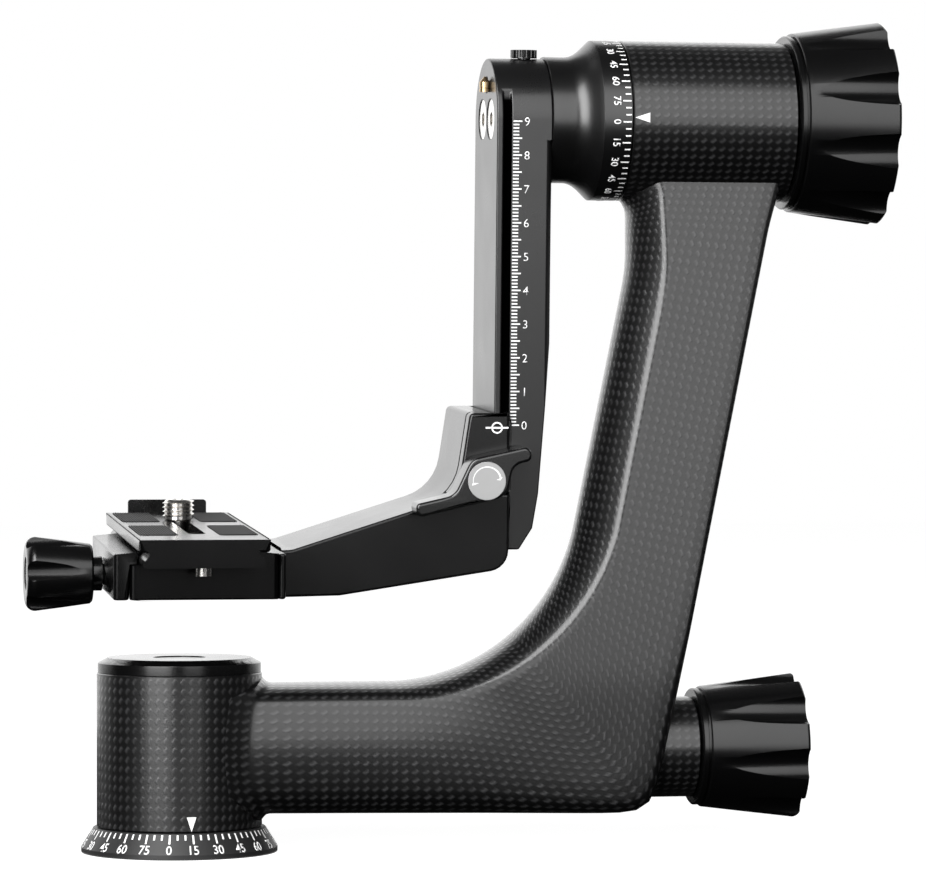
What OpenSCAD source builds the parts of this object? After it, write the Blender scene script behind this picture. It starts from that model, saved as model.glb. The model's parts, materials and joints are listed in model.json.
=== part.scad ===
// Gimbal tripod head. Millimetres, +Z up, tilt axis along X, front towards -Y.
// The origin is the centre of the foot's lower face, on the tripod socket's axis.

/* [Foot and pan housing] */
// Radius of the foot's lower edge
foot_r = 29; // [27:0.5:32]
// Height of the straight rim under the dial's slope
foot_rim_h = 1.6; // [1:0.1:2]
// Radius of the dial's upper edge
dial_top_r = 25.4; // [24.8:0.1:26]
// Height of the foot
foot_h = 7.4; // [6.5:0.1:9]
// Radius of the pan housing
pan_r = 24.4; // [23.8:0.1:24.8]
// Height of the pan housing's upper edge
pan_top_z = 53; // [51:0.5:55]
// Height of the pan cap
cap_h = 4.4; // [3.5:0.1:5]
// Height of the pan cap's bevel
cap_bevel_h = 1.5; // [0.8:0.1:2]
// Width of the pan cap's bevel
cap_bevel_w = 2.8; // [1:0.1:3.5]

/* [Pan bearing] */
// Radius of the pan spindle
spindle_r = 12; // [11:0.5:13]
// Minor radius of the 3/8-16 tripod socket
socket_r = 4.06;
// Depth of the tripod socket
socket_l = 12; // [10:1:14]
// Outer radius of the liner in the pan housing
pan_liner_r = 20.4; // [19.8:0.1:20.8]
// Wall of the pan liner
pan_liner_t = 2.4; // [2:0.1:3]
// Width of each pan bearing
pan_bearing_w = 8; // [6:1:9]

/* [Carbon frame] */
// Height of the lower arm's underside below the knee
arm_bottom_z = 10; // [9:0.5:11]
// Rise of that underside towards the housing, per millimetre
underside_rise = 0.012; // [0:0.001:0.02]
// Height of the lower arm's top
arm_top_z = 49.7; // [48.5:0.1:51]
// Radius of the fillet between the lower arm and the upright
fillet_r = 57.8; // [54:0.1:60]
// Lean of the upright from the vertical, degrees
lean = 11.6; // [10.5:0.1:12.5]
// X at which the upright's inner line meets the lower arm's top
inner_foot_x = 109.7; // [108:0.1:111]
// Width of the upright along X
upright_w = 38.4; // [37:0.1:40]
// Half depth of the lower arm
lower_half_depth = 18.2; // [17:0.1:19]
// Half depth of the upright where it meets the tilt tube
upper_half_depth = 14.6; // [14:0.1:16]
// Length of the flank on the lower arm's top
lower_flank = 5.2; // [4.5:0.1:6]
// Length of the flank on the upright's inner side
upper_flank = 10; // [8.5:0.1:11]
// Edge radius of the lower arm's underside
lower_edge_r = 8; // [6:0.5:9]
// Edge radius of the upright's outer side
upper_edge_r = 1.7; // [1.4:0.1:2.5]
// Wall of the carbon moulding
frame_wall = 3; // [2.5:0.1:3.4]

/* [Tilt tube] */
// Height of the tilt axis
tilt_z = 217.5; // [215:0.5:222]
// X of the tube's left end
tube_x = 132.4; // [132:0.1:133]
// Length of the tube
tube_l = 50.1; // [48:0.1:52]
// Radius of the tube and of the tilt dial
tube_r = 24; // [23.6:0.1:24.4]
// Radius of the tilt axle
axle_r = 9; // [8:0.5:9.5]
// Outer radius of the liner in the tube
tilt_liner_r = 20; // [19.5:0.1:20.4]
// Inner radius of the tilt liner
tilt_liner_bore_r = 15; // [14.5:0.1:15.5]
// Width of each tilt bearing
tilt_bearing_w = 10; // [8:1:12]

/* [Knobs] */
// Height of the pan lock's axis
pan_lock_z = 29; // [28.5:0.1:29.5]
// Radius of the boss behind the lower knob
boss_r = 15.1; // [14.5:0.1:15.5]
// X of the boss's outer end
boss_x = 154.9; // [154:0.1:156]
// Radius of the lower knob's collar
pan_knob_collar_r = 17.6; // [17:0.1:18]
// Largest radius of the lower knob
pan_knob_r = 21.7; // [21:0.1:22.5]
// Length of the lower knob
pan_knob_l = 31.9; // [30:0.1:34]
// Flutes of the lower knob
pan_knob_flutes = 8; // [7:1:9]
// Radius of the upper knob's collar
tilt_knob_collar_r = 26.2; // [25:0.1:26.6]
// Largest radius of the upper knob
tilt_knob_r = 30.8; // [29.5:0.1:31.5]
// Length of the upper knob
tilt_knob_l = 29.4; // [28:0.1:32]
// Flutes of the upper knob
tilt_knob_flutes = 10; // [9:1:11]
// Radius of the lower knob's flutes
pan_flute_r = 5.5; // [5:0.1:5.8]
// Depth of the lower knob's flutes at their outer end
pan_flute_depth = 3.3; // [2.6:0.1:3.6]
// Radius of the upper knob's flutes
tilt_flute_r = 6.2; // [5.6:0.1:6.6]
// Depth of the upper knob's flutes at their outer end
tilt_flute_depth = 3.5; // [2.8:0.1:3.8]

/* [Swing arm] */
// Backward tip of the swing arm as it rests, degrees
tilt_rest = 3.3; // [0:0.1:5]
// X of the arm's left face
rail_x = 92.3; // [92:0.1:92.6]
// Width of the arm along X
rail_w = 16.8; // [16:0.1:17.2]
// Half depth of the arm
rail_half = 18.2; // [18:0.1:18.6]
// Distance from the tilt axis to the arm's lower end
rail_reach = 127.7; // [126:0.1:130]
// Thickness of the rail lip beside the groove
rail_lip = 2; // [1.8:0.1:2.2]
// Width of the rail groove
groove_w = 2.4; // [2.2:0.1:2.6]
// Depth of the rail groove
groove_d = 2.2; // [2:0.1:2.4]
// Radius of the hub's neck
hub_r = 18.8; // [18.3:0.1:19.2]
// Width of the printed tilt dial
dial_w = 7.7; // [7:0.1:8]

/* [Carriage] */
// Half depth of the carriage
carriage_half = 20.5; // [20.4:0.1:21.5]
// Height of the carriage's upper edge below the tilt axis
carriage_drop = 86.9; // [86:0.1:90]
// Distance from the tilt axis down to the clamp's lower face
clamp_drop = 140.6; // [139:0.1:142]
// Thickness of the carriage behind the rail
carriage_back_t = 7.4; // [7:0.1:8]
// Depth of the front rail jaw
jaw_plate_t = 6; // [5.5:0.1:6.5]
// Length of the lock lever
lever_l = 34.6; // [33:0.1:36]
// Thickness of the lock lever
lever_t = 9.2; // [8:0.1:10]
// Radius of the lever's disc
lever_cap_r = 5.65; // [5.2:0.05:6]

/* [Plate clamp] */
// Half length of the clamp along Y
clamp_half = 33; // [31:0.5:35]
// Height of the clamp's seat above its lower face
clamp_seat_h = 10.5; // [10:0.1:11]
// Height of the clamp's jaws
clamp_jaw_h = 13.4; // [13:0.1:13.8]
// Width of the clamp's moving jaw
jaw_w = 4.6; // [4.2:0.1:5]
// Width of the clamp's fixed jaw
fixed_jaw_w = 4.1; // [3.8:0.1:4.5]
// Radius of the clamp shaft's collar
clamp_shaft_r = 5.1; // [4.8:0.1:5.4]
// Radius of the clamp screw
clamp_screw_r = 3; // [2.5:0.1:3.2]
// Gap between the clamp knob and the moving jaw
clamp_neck_l = 3.3; // [3:0.1:4]
// Length of the clamp knob
clamp_knob_l = 19.5; // [18:0.1:21]
// Radius of the clamp knob's outer end
clamp_knob_r = 11; // [10.5:0.1:11.5]
// Radius of the clamp knob's inner end
clamp_knob_neck_r = 8.9; // [8.5:0.1:9.3]
// Flutes of the clamp knob
clamp_knob_flutes = 6; // [5:1:7]
// Radius of the clamp knob's flutes
clamp_flute_r = 3.3; // [3:0.1:3.6]
// Depth of the clamp knob's flutes at their outer end
clamp_flute_depth = 2.4; // [2:0.1:2.6]

/* [Camera plate] */
// Width of the camera plate
plate_w = 38; // [37.5:0.1:38.2]
// Length of the camera plate
plate_l = 100; // [95:1:110]
// Thickness of the plate's upper slab
slab_t = 3.8; // [3.6:0.1:4.2]
// Thickness of the whole plate
plate_t = 8.2; // [8:0.1:8.6]
// Inset of the dovetail's waist
waist_in = 3.6; // [3.4:0.1:3.8]
// Inset of the dovetail's foot
flange_in = 1.6; // [1.5:0.1:1.8]
// Width of the screw slot
slot_w = 5; // [4.8:0.1:5.4]
// Length of the screw slot
slot_l = 64; // [60:1:66]
// Radius of the camera screw's thread
screw_r = 4.76;
// Height of the camera screw above the plate
screw_h = 6.4; // [5.5:0.1:7]
// Height of the rear lip above the plate
lip_h = 4; // [3.5:0.1:5]
// Width of the rear lip
lip_w = 24.2; // [22:0.2:26]
// Ribs on each pad
pad_ribs = 10; // [8:1:12]

/* [Hidden] */

// Clearances: running fit, bonded or pressed fit, gap between bodies, overrun of a cut
fit = 0.05;
seat = 0.03;
gap = 0.3;
eps = 0.5;

// Smoothness of round faces, and of round outlines that carry no fit
round_fn = 96;
small_fn = 48;
arc_steps = 6;

// Foot plate, its screws and the spindle's flange
foot_plate_t = 4.4;
foot_plate_r = 21;
flange_r = 16.6;
flange_t = 2.2;
foot_screw_r = 1.5;
foot_screw_head_r = 2.8;
foot_screw_pitch_r = 14.3;
foot_screws_n = 3;
housing_z = foot_h + gap;
pan_liner_bore_r = pan_liner_r - pan_liner_t;
lower_bearing_z = housing_z + gap;
nut_space = 8;
upper_bearing_z = pan_top_z - nut_space - pan_bearing_w;
nut_t = 3.4;
nut_r = 16;
nut_bore_r = 10;
spindle_end_z = upper_bearing_z + pan_bearing_w + gap + nut_t;

// Carbon frame: the fillet's centre, the upright's widths and the stations of the rings
turn = 90 - lean;
fillet_centre = [inner_foot_x - fillet_r * tan(turn / 2), arm_top_z + fillet_r];
upright_t = upright_w * cos(lean);
knee_sharpness = 28;
pan_arm_x = pan_r * 0.5;
cavity_x = pan_r + 1.6 * frame_wall;
bend_shares = [0.1, 0.2, 0.3, 0.37, 0.42, 0.46, 0.49, 0.52, 0.56, 0.62, 0.7, 0.8, 0.9, 1];
rise_shares = [0.12, 0.28, 0.44, 0.58, 0.67, 0.7, 0.73, 0.76, 0.79, 0.84, 0.91, 1];
bend_end_z = fillet_centre.y - fillet_r * cos(turn);
loft_end_z = tilt_z - tube_r / 2;
straighten_z = bend_end_z + 0.655 * (loft_end_z - bend_end_z);
upright_end_z = straighten_z + 0.1 * (loft_end_z - bend_end_z);
rod_bore_r = 4.4;
bush_r = 8;
bush_l = 15;

// Pan lock: rod, brake shoe and knob insert
rod_r = 3;
shoe_r = 4;
shoe_l = 9.4;
shoe_travel = 1.3;
shoe_x = spindle_r + gap;
rod_start_x = shoe_x + shoe_l + shoe_travel;
pan_knob_x = boss_x + gap;
insert_r = 7;
insert_l = 15;

// Knob profiles along the axis: end of the collar, start of the grip, crest of the grip,
// rise of the grip's start over the collar, edge radius, angle of the first flute from the top
pan_knob_shape = [1.7, 2.4, 30.9];
pan_grip_rise = 0.6;
pan_flute_angle = 11.5;
pan_flute_start = 0.18;
tilt_knob_shape = [1.6, 2.2, 28.4];
tilt_grip_rise = 0.8;
tilt_flute_angle = 37;
tilt_flute_start = 0.12;
clamp_flute_angle = 20;
knob_edge_r = 1;
groove_line = 0.7;

// Tilt axis
tube_end_x = tube_x + tube_l;
end_ring_r = 22.4;
end_ring_t = 0.4;
end_ring_spigot = 6.5;
liner_end_x = tube_end_x - end_ring_spigot - fit;
tilt_knob_x = tube_end_x + end_ring_t + gap;
hub_end_x = tube_x - gap;
axle_root_l = 15;
axle_x = hub_end_x - axle_root_l;
bearing_in = 4;
left_bearing_x = tube_x + bearing_in;
nut_room = 6.5;
right_bearing_x = liner_end_x - nut_room - tilt_bearing_w;
axle_nut_x = right_bearing_x + tilt_bearing_w + gap;
axle_nut_t = 4.5;
axle_nut_r = 13.5;
axle_thread_r = 7;
clutch_x = axle_nut_x + axle_nut_t + gap;
clutch_t = 5;
tilt_insert_r = 10;
tilt_insert_l = 13;

// Swing arm
rail_end_x = rail_x + rail_w;
rail_bottom_z = tilt_z - rail_reach;
rail_chamfer = 1.4;
groove_x = rail_x + rail_lip;
groove_rise = 9;
groove_top_z = tilt_z + groove_rise;
taper_shares = [[1, 0.48], [0.81, 0.13], [0.71, 0.05], [0.47, 0]];
hub_screw_r = 3;
hub_screw_head_r = 5.9;
hub_screw_head_t = 3;
hub_screw_l = 21;
hub_screw_y = 6.6;
recess = 0.3;
stop_pin_r = 2.35;
stop_pin_rise = 10.3;
stop_pin_z = tilt_z + stop_pin_rise;
stop_pin_l = 6;
stop_pin_out = 1.7;
stop_screw_in = 11.2;
stop_screw_x = rail_x + stop_screw_in;
stop_screw_r = 3.95;
stop_screw_h = 2.5;
stop_screw_stem_r = 2;
stop_screw_stem_l = 6;

// Carriage
carriage_top_z = tilt_z - carriage_drop;
clamp_z = tilt_z - clamp_drop;
carriage_x = rail_x - gap - carriage_back_t;
carriage_end_x = rail_x + rail_lip + groove_w;
hook_w = groove_w - gap;
hook_d = groove_d - gap;
jaw_plate_h = 24;
jaw_split_z = carriage_top_z - jaw_plate_h;
lever_in = 4.2;
lever_x = rail_x - lever_in;
lever_down = 19.45;
lever_z = carriage_top_z - lever_down;
lever_out = 0.4;
lever_y = -carriage_half - lever_out;
lever_shares = [
    [-0.133, 0.185, 0.145], [0.385, 0.298, 0.062], [0.395, 0.172, 0.055], [0.235, 0.133, 0.11],
    [0.18, -0.135, 0.145], [-0.597, -0.315, 0.05], [-0.608, -0.197, 0.04], [-0.275, -0.122, 0.14]
];
carriage_shares = [
    [0, -0.012, 0], [0.26, -0.005, 0.1], [1, 0.139, 0.117], [1, 1, 0.012], [0.823, 1, 0.03],
    [0.77, 0.541, 0.27], [0.05, 0.249, 0.1], [0, 0.247, 0]
];
bolt_r = 2.5;
bolt_l = 27;

// Plate clamp and camera plate
plate_x = 2.7;
seat_z = clamp_z + clamp_seat_h;
plate_z = seat_z + gap;
plate_top_z = plate_z + plate_t;
waist_half = plate_w / 2 - waist_in;
flange_half = plate_w / 2 - flange_in;
flange_side_h = 2.1;
fixed_x = plate_x + flange_half + gap;
base_right_w = 1.9;
clamp_end_x = fixed_x + fixed_jaw_w + base_right_w;
base_left_w = 2.4;
clamp_start_x = plate_x - flange_half - base_left_w;
jaw_end_x = clamp_start_x - gap;
jaw_x = jaw_end_x - jaw_w;
bracket_flange_t = 2;
bracket_x = clamp_end_x + bracket_flange_t;
clamp_axis_h = 4.9;
clamp_axis_z = clamp_z + clamp_axis_h;
guide_r = 2;
guide_y = clamp_half * 0.62;
guide_l = 22;
clamp_bore_l = 26;
knob_end_x = jaw_x - clamp_neck_l;
side_screw_r = 1.6;
side_screw_l = 9;
slot_y = 1.5;
channel_w = 15;
channel_h = 3.9;
washer_t = 0.5;
washer_r = 6.4;
head_r = 7;
head_t = 2.4;
shank_r = 2.3;
screw_tip = 0.6;
screw_y = 20;
pad_w = 11.4;
pad_l = 35;
pad_t = 0.9;
pad_sink = 0.6;
pad_x = 11.7;
pad_front_y = -17.5;
pad_back_y = 30.5;
rib_h = 0.45;
plate_stop_r = 2.45;
plate_stop_h = 2.5;
plate_stop_in = 4;
plate_stop_y = plate_l / 2 - plate_stop_in;
lip_t = 1.5;
lip_in = 0.5;

// Colours
carbon_colour = [0.09, 0.09, 0.1];
black_colour = [0.04, 0.04, 0.045];
steel_colour = [0.62, 0.6, 0.56];
brass_colour = [0.72, 0.55, 0.3];
pad_colour = [0.2, 0.2, 0.2];

// Points of the arc that rounds the corner b between a and c
function corner_arc(a, b, c, r) =
    let(u = (a - b) / norm(a - b), v = (c - b) / norm(c - b))
    let(half = acos(u * v) / 2, m = b + (u + v) / norm(u + v) * r / sin(half))
    let(p = b + u * r / tan(half) - m, q = b + v * r / tan(half) - m)
    let(a0 = atan2(p.y, p.x), d = atan2(q.y, q.x) - a0)
    let(sweep = d > 180 ? d - 360 : d < -180 ? d + 360 : d)
    r == 0 ? [b] : [for (i = [0:arc_steps]) m + r * [cos(a0 + sweep * i / arc_steps),
                                                     sin(a0 + sweep * i / arc_steps)]];

// Outline with round corners, from a list of [x, y, radius]
function rounded(list) =
    let(n = len(list), p = [for (e = list) [e.x, e.y]])
    [for (i = [0:n - 1]) each corner_arc(p[(i + n - 1) % n], p[i], p[(i + 1) % n], list[i].z)];

// A solid of revolution about the X axis at height z, from a list of [x, radius]
module turned_x(list, z) {
    translate([0, 0, z])
        rotate([90, 0, 90])
            rotate_extrude($fn = round_fn)
                polygon([for (p = list) [p.y, p.x]]);
}

// A cylinder along X from x to x + l, at depth y and height z
module rod_x(r, x, l, z, y = 0, fn = round_fn) {
    translate([x, y, z])
        rotate([0, 90, 0])
            cylinder(r = r, h = l, $fn = fn);
}

// A cylinder along Y from y to y + l
module rod_y(r, y, l, x, z, fn = small_fn) {
    translate([x, y, z])
        rotate([-90, 0, 0])
            cylinder(r = r, h = l, $fn = fn);
}

// An outline in X and Z, extruded along Y from y to y + l
module slab_y(points, y, l) {
    translate([0, y + l, 0])
        rotate([90, 0, 0])
            linear_extrude(l)
                polygon(points);
}

// Tips its children back about the tilt axis by the rest angle
module tipped() {
    translate([0, 0, tilt_z])
        rotate([tilt_rest, 0, 0])
            translate([0, 0, -tilt_z])
                children();
}

// Foot and pan bearing
module foot_screw_places() {
    for (i = [0:foot_screws_n - 1])
        rotate(i * 360 / foot_screws_n + 90)
            translate([foot_screw_pitch_r, 0, 0])
                children();
}

module foot_screw_shape(slack) {
    low = slack > 0 ? -eps : recess;
    rotate_extrude($fn = small_fn)
        polygon([[0, low], [foot_screw_head_r + slack, low],
                 [foot_screw_head_r + slack, recess + 4 * fit],
                 [foot_screw_r + slack, foot_screw_head_r - foot_screw_r + recess],
                 [foot_screw_r + slack, foot_plate_t + flange_t * 0.8],
                 [0, foot_plate_t + flange_t * 0.8]]);
}

module foot_plate() {
    color(black_colour)
        difference() {
            cylinder(r = foot_plate_r, h = foot_plate_t, $fn = round_fn);
            translate([0, 0, -eps])
                cylinder(r = spindle_r + seat, h = foot_plate_t + 2 * eps, $fn = round_fn);
            foot_screw_places() foot_screw_shape(fit);
        }
}

module dial_ring() {
    inner = foot_plate_r + seat;
    ledge = pan_liner_r - pan_liner_t;
    color(black_colour)
        rotate_extrude($fn = round_fn)
            polygon(rounded([[inner, 0, 0], [foot_r, 0, recess], [foot_r, foot_rim_h, recess],
                             [dial_top_r, foot_h, recess], [ledge, foot_h, 0],
                             [ledge, foot_plate_t, 0], [inner, foot_plate_t, 0]]));
}

module foot_screws() {
    color(steel_colour)
        foot_screw_places() foot_screw_shape(0);
}

module pan_spindle() {
    color(steel_colour)
        difference() {
            rotate_extrude($fn = round_fn)
                polygon([[0, 0], [spindle_r, 0], [spindle_r, foot_plate_t], [flange_r, foot_plate_t],
                         [flange_r, foot_plate_t + flange_t], [spindle_r, foot_plate_t + flange_t],
                         [spindle_r, spindle_end_z - nut_t], [nut_bore_r, spindle_end_z - nut_t],
                         [nut_bore_r, spindle_end_z], [0, spindle_end_z]]);
            translate([0, 0, -eps])
                cylinder(r = socket_r, h = socket_l + eps, $fn = small_fn);
            foot_screw_places() foot_screw_shape(fit);
        }
}

module spindle_nut() {
    color(steel_colour)
        translate([0, 0, spindle_end_z - nut_t])
            difference() {
                cylinder(r = nut_r, h = nut_t, $fn = round_fn);
                translate([0, 0, -eps])
                    cylinder(r = nut_bore_r + seat, h = nut_t + 2 * eps, $fn = round_fn);
            }
}

// Pan bearing rings, between the spindle and the liner
module pan_bearing(z) {
    color(steel_colour)
        translate([0, 0, z])
            difference() {
                cylinder(r = pan_liner_bore_r - seat, h = pan_bearing_w, $fn = round_fn);
                translate([0, 0, -eps])
                    cylinder(r = spindle_r + fit, h = pan_bearing_w + 2 * eps, $fn = round_fn);
            }
}

module pan_bearing_lower() { pan_bearing(lower_bearing_z); }
module pan_bearing_upper() { pan_bearing(upper_bearing_z); }

module pan_liner() {
    color(black_colour)
        difference() {
            translate([0, 0, housing_z])
                cylinder(r = pan_liner_r, h = pan_top_z - housing_z, $fn = round_fn);
            translate([0, 0, housing_z - eps])
                cylinder(r = pan_liner_bore_r, h = pan_top_z - housing_z + 2 * eps, $fn = round_fn);
            rod_x(shoe_r + fit, spindle_r, pan_r, pan_lock_z, 0, small_fn);
        }
}

module pan_cap() {
    spigot_r = pan_liner_bore_r - seat;
    mark_r = pan_r * 0.32;
    cap_top = pan_top_z + cap_h;
    color(black_colour)
        rotate_extrude($fn = round_fn)
            polygon([[0, spindle_end_z + gap], [spigot_r, spindle_end_z + gap], [spigot_r, pan_top_z],
                     [pan_r - gap, pan_top_z], [pan_r - gap, cap_top - cap_bevel_h],
                     [pan_r - gap - cap_bevel_w, cap_top], [mark_r, cap_top],
                     [mark_r, cap_top - recess], [0, cap_top - recess]]);
}

// Carbon frame, as rings from the pan housing round the knee and up the upright.
// A ring is [inner point, outer point, flank length, flank power, edge radius].
function mix(a, b, s) = a + (b - a) * s;
function clamped(s) = min(1, max(0, s));
function half_depth(z) =
    mix(lower_half_depth, upper_half_depth, clamped((z - arm_top_z) / (tilt_z - tube_r / 2 - arm_top_z)));
function outer_x(z) = inner_foot_x + upright_w + (z - arm_top_z) * tan(lean);
function underside(x) = arm_bottom_z + underside_rise * (inner_foot_x + upright_w - x);
function knee_reach(a) =
    let(low = (cos(a) - underside_rise * sin(a)) / (fillet_centre.y - underside(fillet_centre.x)))
    let(side = cos(turn - a) / (fillet_r + upright_t))
    let(big = max(low, side))
    1 / (big * pow(pow(low / big, knee_sharpness) + pow(side / big, knee_sharpness),
                   1 / knee_sharpness));
function inner_x(z) =
    let(line = inner_foot_x + (z - arm_top_z) * tan(lean), over = max(0, z - straighten_z))
    let(span = upright_end_z - straighten_z, s = min(over, span))
    line - over * tan(lean) + tan(lean) * (s - s * s / (2 * span));

function frame_rings(x0) = concat(
    [for (x = [x0, mix(x0, fillet_centre.x, 0.5), fillet_centre.x])
        [[x, arm_top_z], [x, underside(x)], lower_flank, 2, lower_edge_r]],
    [for (s = bend_shares)
        let(a = s * turn, d = [sin(a), -cos(a)], e = clamped(1.6 * s - 0.3))
        [fillet_centre + fillet_r * d, fillet_centre + knee_reach(a) * d,
         mix(lower_flank, upper_flank, s), mix(2, 1.15, s), mix(lower_edge_r, upper_edge_r, e)]],
    [for (s = rise_shares)
        let(z = mix(bend_end_z, loft_end_z, s), u = clamped((s - 0.6) / 0.35))
        let(zo = z - upright_t * sin(lean) * (1 - u))
        [[inner_x(z), z], [outer_x(zo), zo], mix(upper_flank, 0.8 * upper_flank, u), 1.15,
         upper_edge_r]]
);

// Points of half a ring's outline as [share of the way from outer to inner, share of half depth]
edge_steps = 4;
flank_steps = 9;
function half_outline(length, flank, power, edge, depth) = concat(
    [for (i = [0:edge_steps])
        let(a = 90 * i / edge_steps)
        [edge * (1 - cos(a)), depth - edge * (1 - sin(a))]],
    [for (i = [0:flank_steps])
        let(a = 90 * i / flank_steps)
        [length - flank + flank * pow(sin(a), 2 / power), depth * cos(a)]]
);

function ring_points(ring, inset) =
    let(way = (ring[0] - ring[1]) / norm(ring[0] - ring[1]))
    let(start = ring[1] + inset * way, length = norm(ring[0] - ring[1]) - 2 * inset)
    let(edge = max(ring[4] - inset, upper_edge_r / 3))
    let(unit = half_outline(length, ring[2], ring[3], edge, lower_half_depth - inset))
    let(front = [for (p = unit)
        let(q = start + p.x * way, k = (half_depth(q.y) - inset) / (lower_half_depth - inset))
        [q.x, -p.y * k, q.y]])
    concat(front, [for (i = [len(front) - 2:-1:0]) [front[i].x, -front[i].y, front[i].z]]);

module frame_loft(x0, inset) {
    rings = frame_rings(x0);
    points = [for (r = rings) each ring_points(r, inset)];
    n = len(points) / len(rings);
    last = len(rings) - 1;
    sides = [for (j = [0:last - 1], i = [0:n - 1])
        let(a = j * n + i, b = j * n + (i + 1) % n)
        each [[a, b, b + n], [a, b + n, a + n]]];
    polyhedron(points, concat(sides, [[for (i = [n - 1:-1:0]) i]], [[for (i = [0:n - 1]) last * n + i]]));
}

module carbon_frame() {
    color(carbon_colour)
        difference() {
            union() {
                translate([0, 0, housing_z])
                    cylinder(r = pan_r, h = pan_top_z - housing_z, $fn = round_fn);
                rod_x(tube_r, tube_x, tube_l, tilt_z);
                rod_x(boss_r, boss_x - boss_r, boss_r, pan_lock_z);
                frame_loft(pan_arm_x, 0);
            }
            translate([0, 0, housing_z - eps])
                cylinder(r = pan_liner_r + seat, h = pan_top_z - housing_z + 2 * eps, $fn = round_fn);
            rod_x(tilt_liner_r + seat, tube_x - eps, tube_l + 2 * eps, tilt_z);
            rod_x(rod_bore_r, pan_liner_r / 2, cavity_x, pan_lock_z, 0, small_fn);
            rod_x(bush_r + seat, boss_x - bush_l, bush_l + eps, pan_lock_z, 0, small_fn);
            frame_loft(cavity_x, frame_wall);
        }
}

// Pan lock
module pan_lock_bush() {
    color(brass_colour)
        difference() {
            rod_x(bush_r, boss_x - bush_l, bush_l, pan_lock_z, 0, small_fn);
            rod_x(rod_r + fit, boss_x - bush_l - eps, bush_l + 2 * eps, pan_lock_z, 0, small_fn);
        }
}

module pan_brake_shoe() {
    color(brass_colour)
        rod_x(shoe_r, shoe_x, shoe_l, pan_lock_z, 0, small_fn);
}

module pan_lock_rod() {
    color(steel_colour)
        rod_x(rod_r, rod_start_x, pan_knob_x + gap + insert_l - rod_start_x, pan_lock_z, 0, small_fn);
}

// A knob along +X from x: collar, fine groove, flared grip, and flutes that start in a point.
// shape is [collar end, grip start, grip crest], radii are [collar, grip start, crest], and
// flutes is [count, radius, depth at the outer end, angle of the first one, start as a share].
module fluted_knob(x, z, shape, length, radii, flutes) {
    collar = x + shape[0];
    start = x + shape[1];
    crest = x + shape[2];
    end = x + length;
    rise = (radii[2] - radii[1]) / (crest - start);
    cut = mix(start, crest, flutes[4]);
    slope = atan((flutes[2] - rise * (crest - cut)) / (end - cut));
    round_edge = [for (a = [0:18:90])
        [end - knob_edge_r * (1 - sin(a)), radii[2] - knob_edge_r * (1 - cos(a))]];
    difference() {
        turned_x(concat([[x, 0], [x, radii[0] - recess], [x + recess, radii[0]], [collar, radii[0]],
                         [collar, radii[0] - groove_line], [start, radii[0] - groove_line],
                         [start, radii[1]], [crest, radii[2]]], round_edge, [[end, 0]]), z);
        for (i = [0:flutes[0] - 1])
            translate([cut, 0, z])
                rotate([flutes[3] + i * 360 / flutes[0], 0, 0])
                    translate([0, 0, radii[1] + rise * (cut - start) + flutes[1]])
                        rotate([0, 90 + slope, 0])
                            cylinder(r = flutes[1], h = 2 * (end - cut), $fn = small_fn);
    }
}

module pan_knob() {
    color(black_colour)
        difference() {
            fluted_knob(pan_knob_x, pan_lock_z, pan_knob_shape, pan_knob_l,
                        [pan_knob_collar_r, pan_knob_collar_r + pan_grip_rise, pan_knob_r],
                        [pan_knob_flutes, pan_flute_r, pan_flute_depth, pan_flute_angle,
                         pan_flute_start]);
            rod_x(insert_r + seat, pan_knob_x - eps, insert_l + eps + gap, pan_lock_z, 0, small_fn);
        }
}

module pan_knob_insert() {
    color(brass_colour)
        difference() {
            rod_x(insert_r, pan_knob_x + gap, insert_l, pan_lock_z, 0, small_fn);
            rod_x(rod_r + seat, pan_knob_x, insert_l + 2 * gap, pan_lock_z, 0, small_fn);
        }
}

// Tilt axis
module tilt_liner() {
    color(black_colour)
        difference() {
            rod_x(tilt_liner_r, tube_x + gap, liner_end_x - tube_x - gap, tilt_z);
            rod_x(tilt_liner_bore_r, tube_x, liner_end_x - tube_x + eps, tilt_z);
        }
}

module tilt_bearing(x) {
    color(steel_colour)
        difference() {
            rod_x(tilt_liner_bore_r - seat, x, tilt_bearing_w, tilt_z);
            rod_x(axle_r + fit, x - eps, tilt_bearing_w + 2 * eps, tilt_z);
        }
}

module tilt_bearing_left() { tilt_bearing(left_bearing_x); }
module tilt_bearing_right() { tilt_bearing(right_bearing_x); }

module tube_end_ring() {
    color(black_colour)
        difference() {
            union() {
                rod_x(tilt_liner_r, tube_end_x - end_ring_spigot, end_ring_spigot, tilt_z);
                rod_x(end_ring_r, tube_end_x, end_ring_t, tilt_z);
            }
            rod_x(tilt_liner_bore_r, tube_end_x - end_ring_spigot - eps,
                  end_ring_spigot + end_ring_t + 2 * eps, tilt_z);
        }
}

module tilt_clutch_ring() {
    color(brass_colour)
        difference() {
            rod_x(tilt_liner_bore_r - 2 * fit, clutch_x, clutch_t, tilt_z);
            rod_x(axle_thread_r + 2 * fit, clutch_x - eps, clutch_t + 2 * eps, tilt_z);
        }
}

module tilt_knob() {
    color(black_colour)
        difference() {
            fluted_knob(tilt_knob_x, tilt_z, tilt_knob_shape, tilt_knob_l,
                        [tilt_knob_collar_r, tilt_knob_collar_r + tilt_grip_rise, tilt_knob_r],
                        [tilt_knob_flutes, tilt_flute_r, tilt_flute_depth, tilt_flute_angle,
                         tilt_flute_start]);
            rod_x(tilt_insert_r + seat, tilt_knob_x - eps, tilt_insert_l + eps + gap, tilt_z);
        }
}

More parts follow.
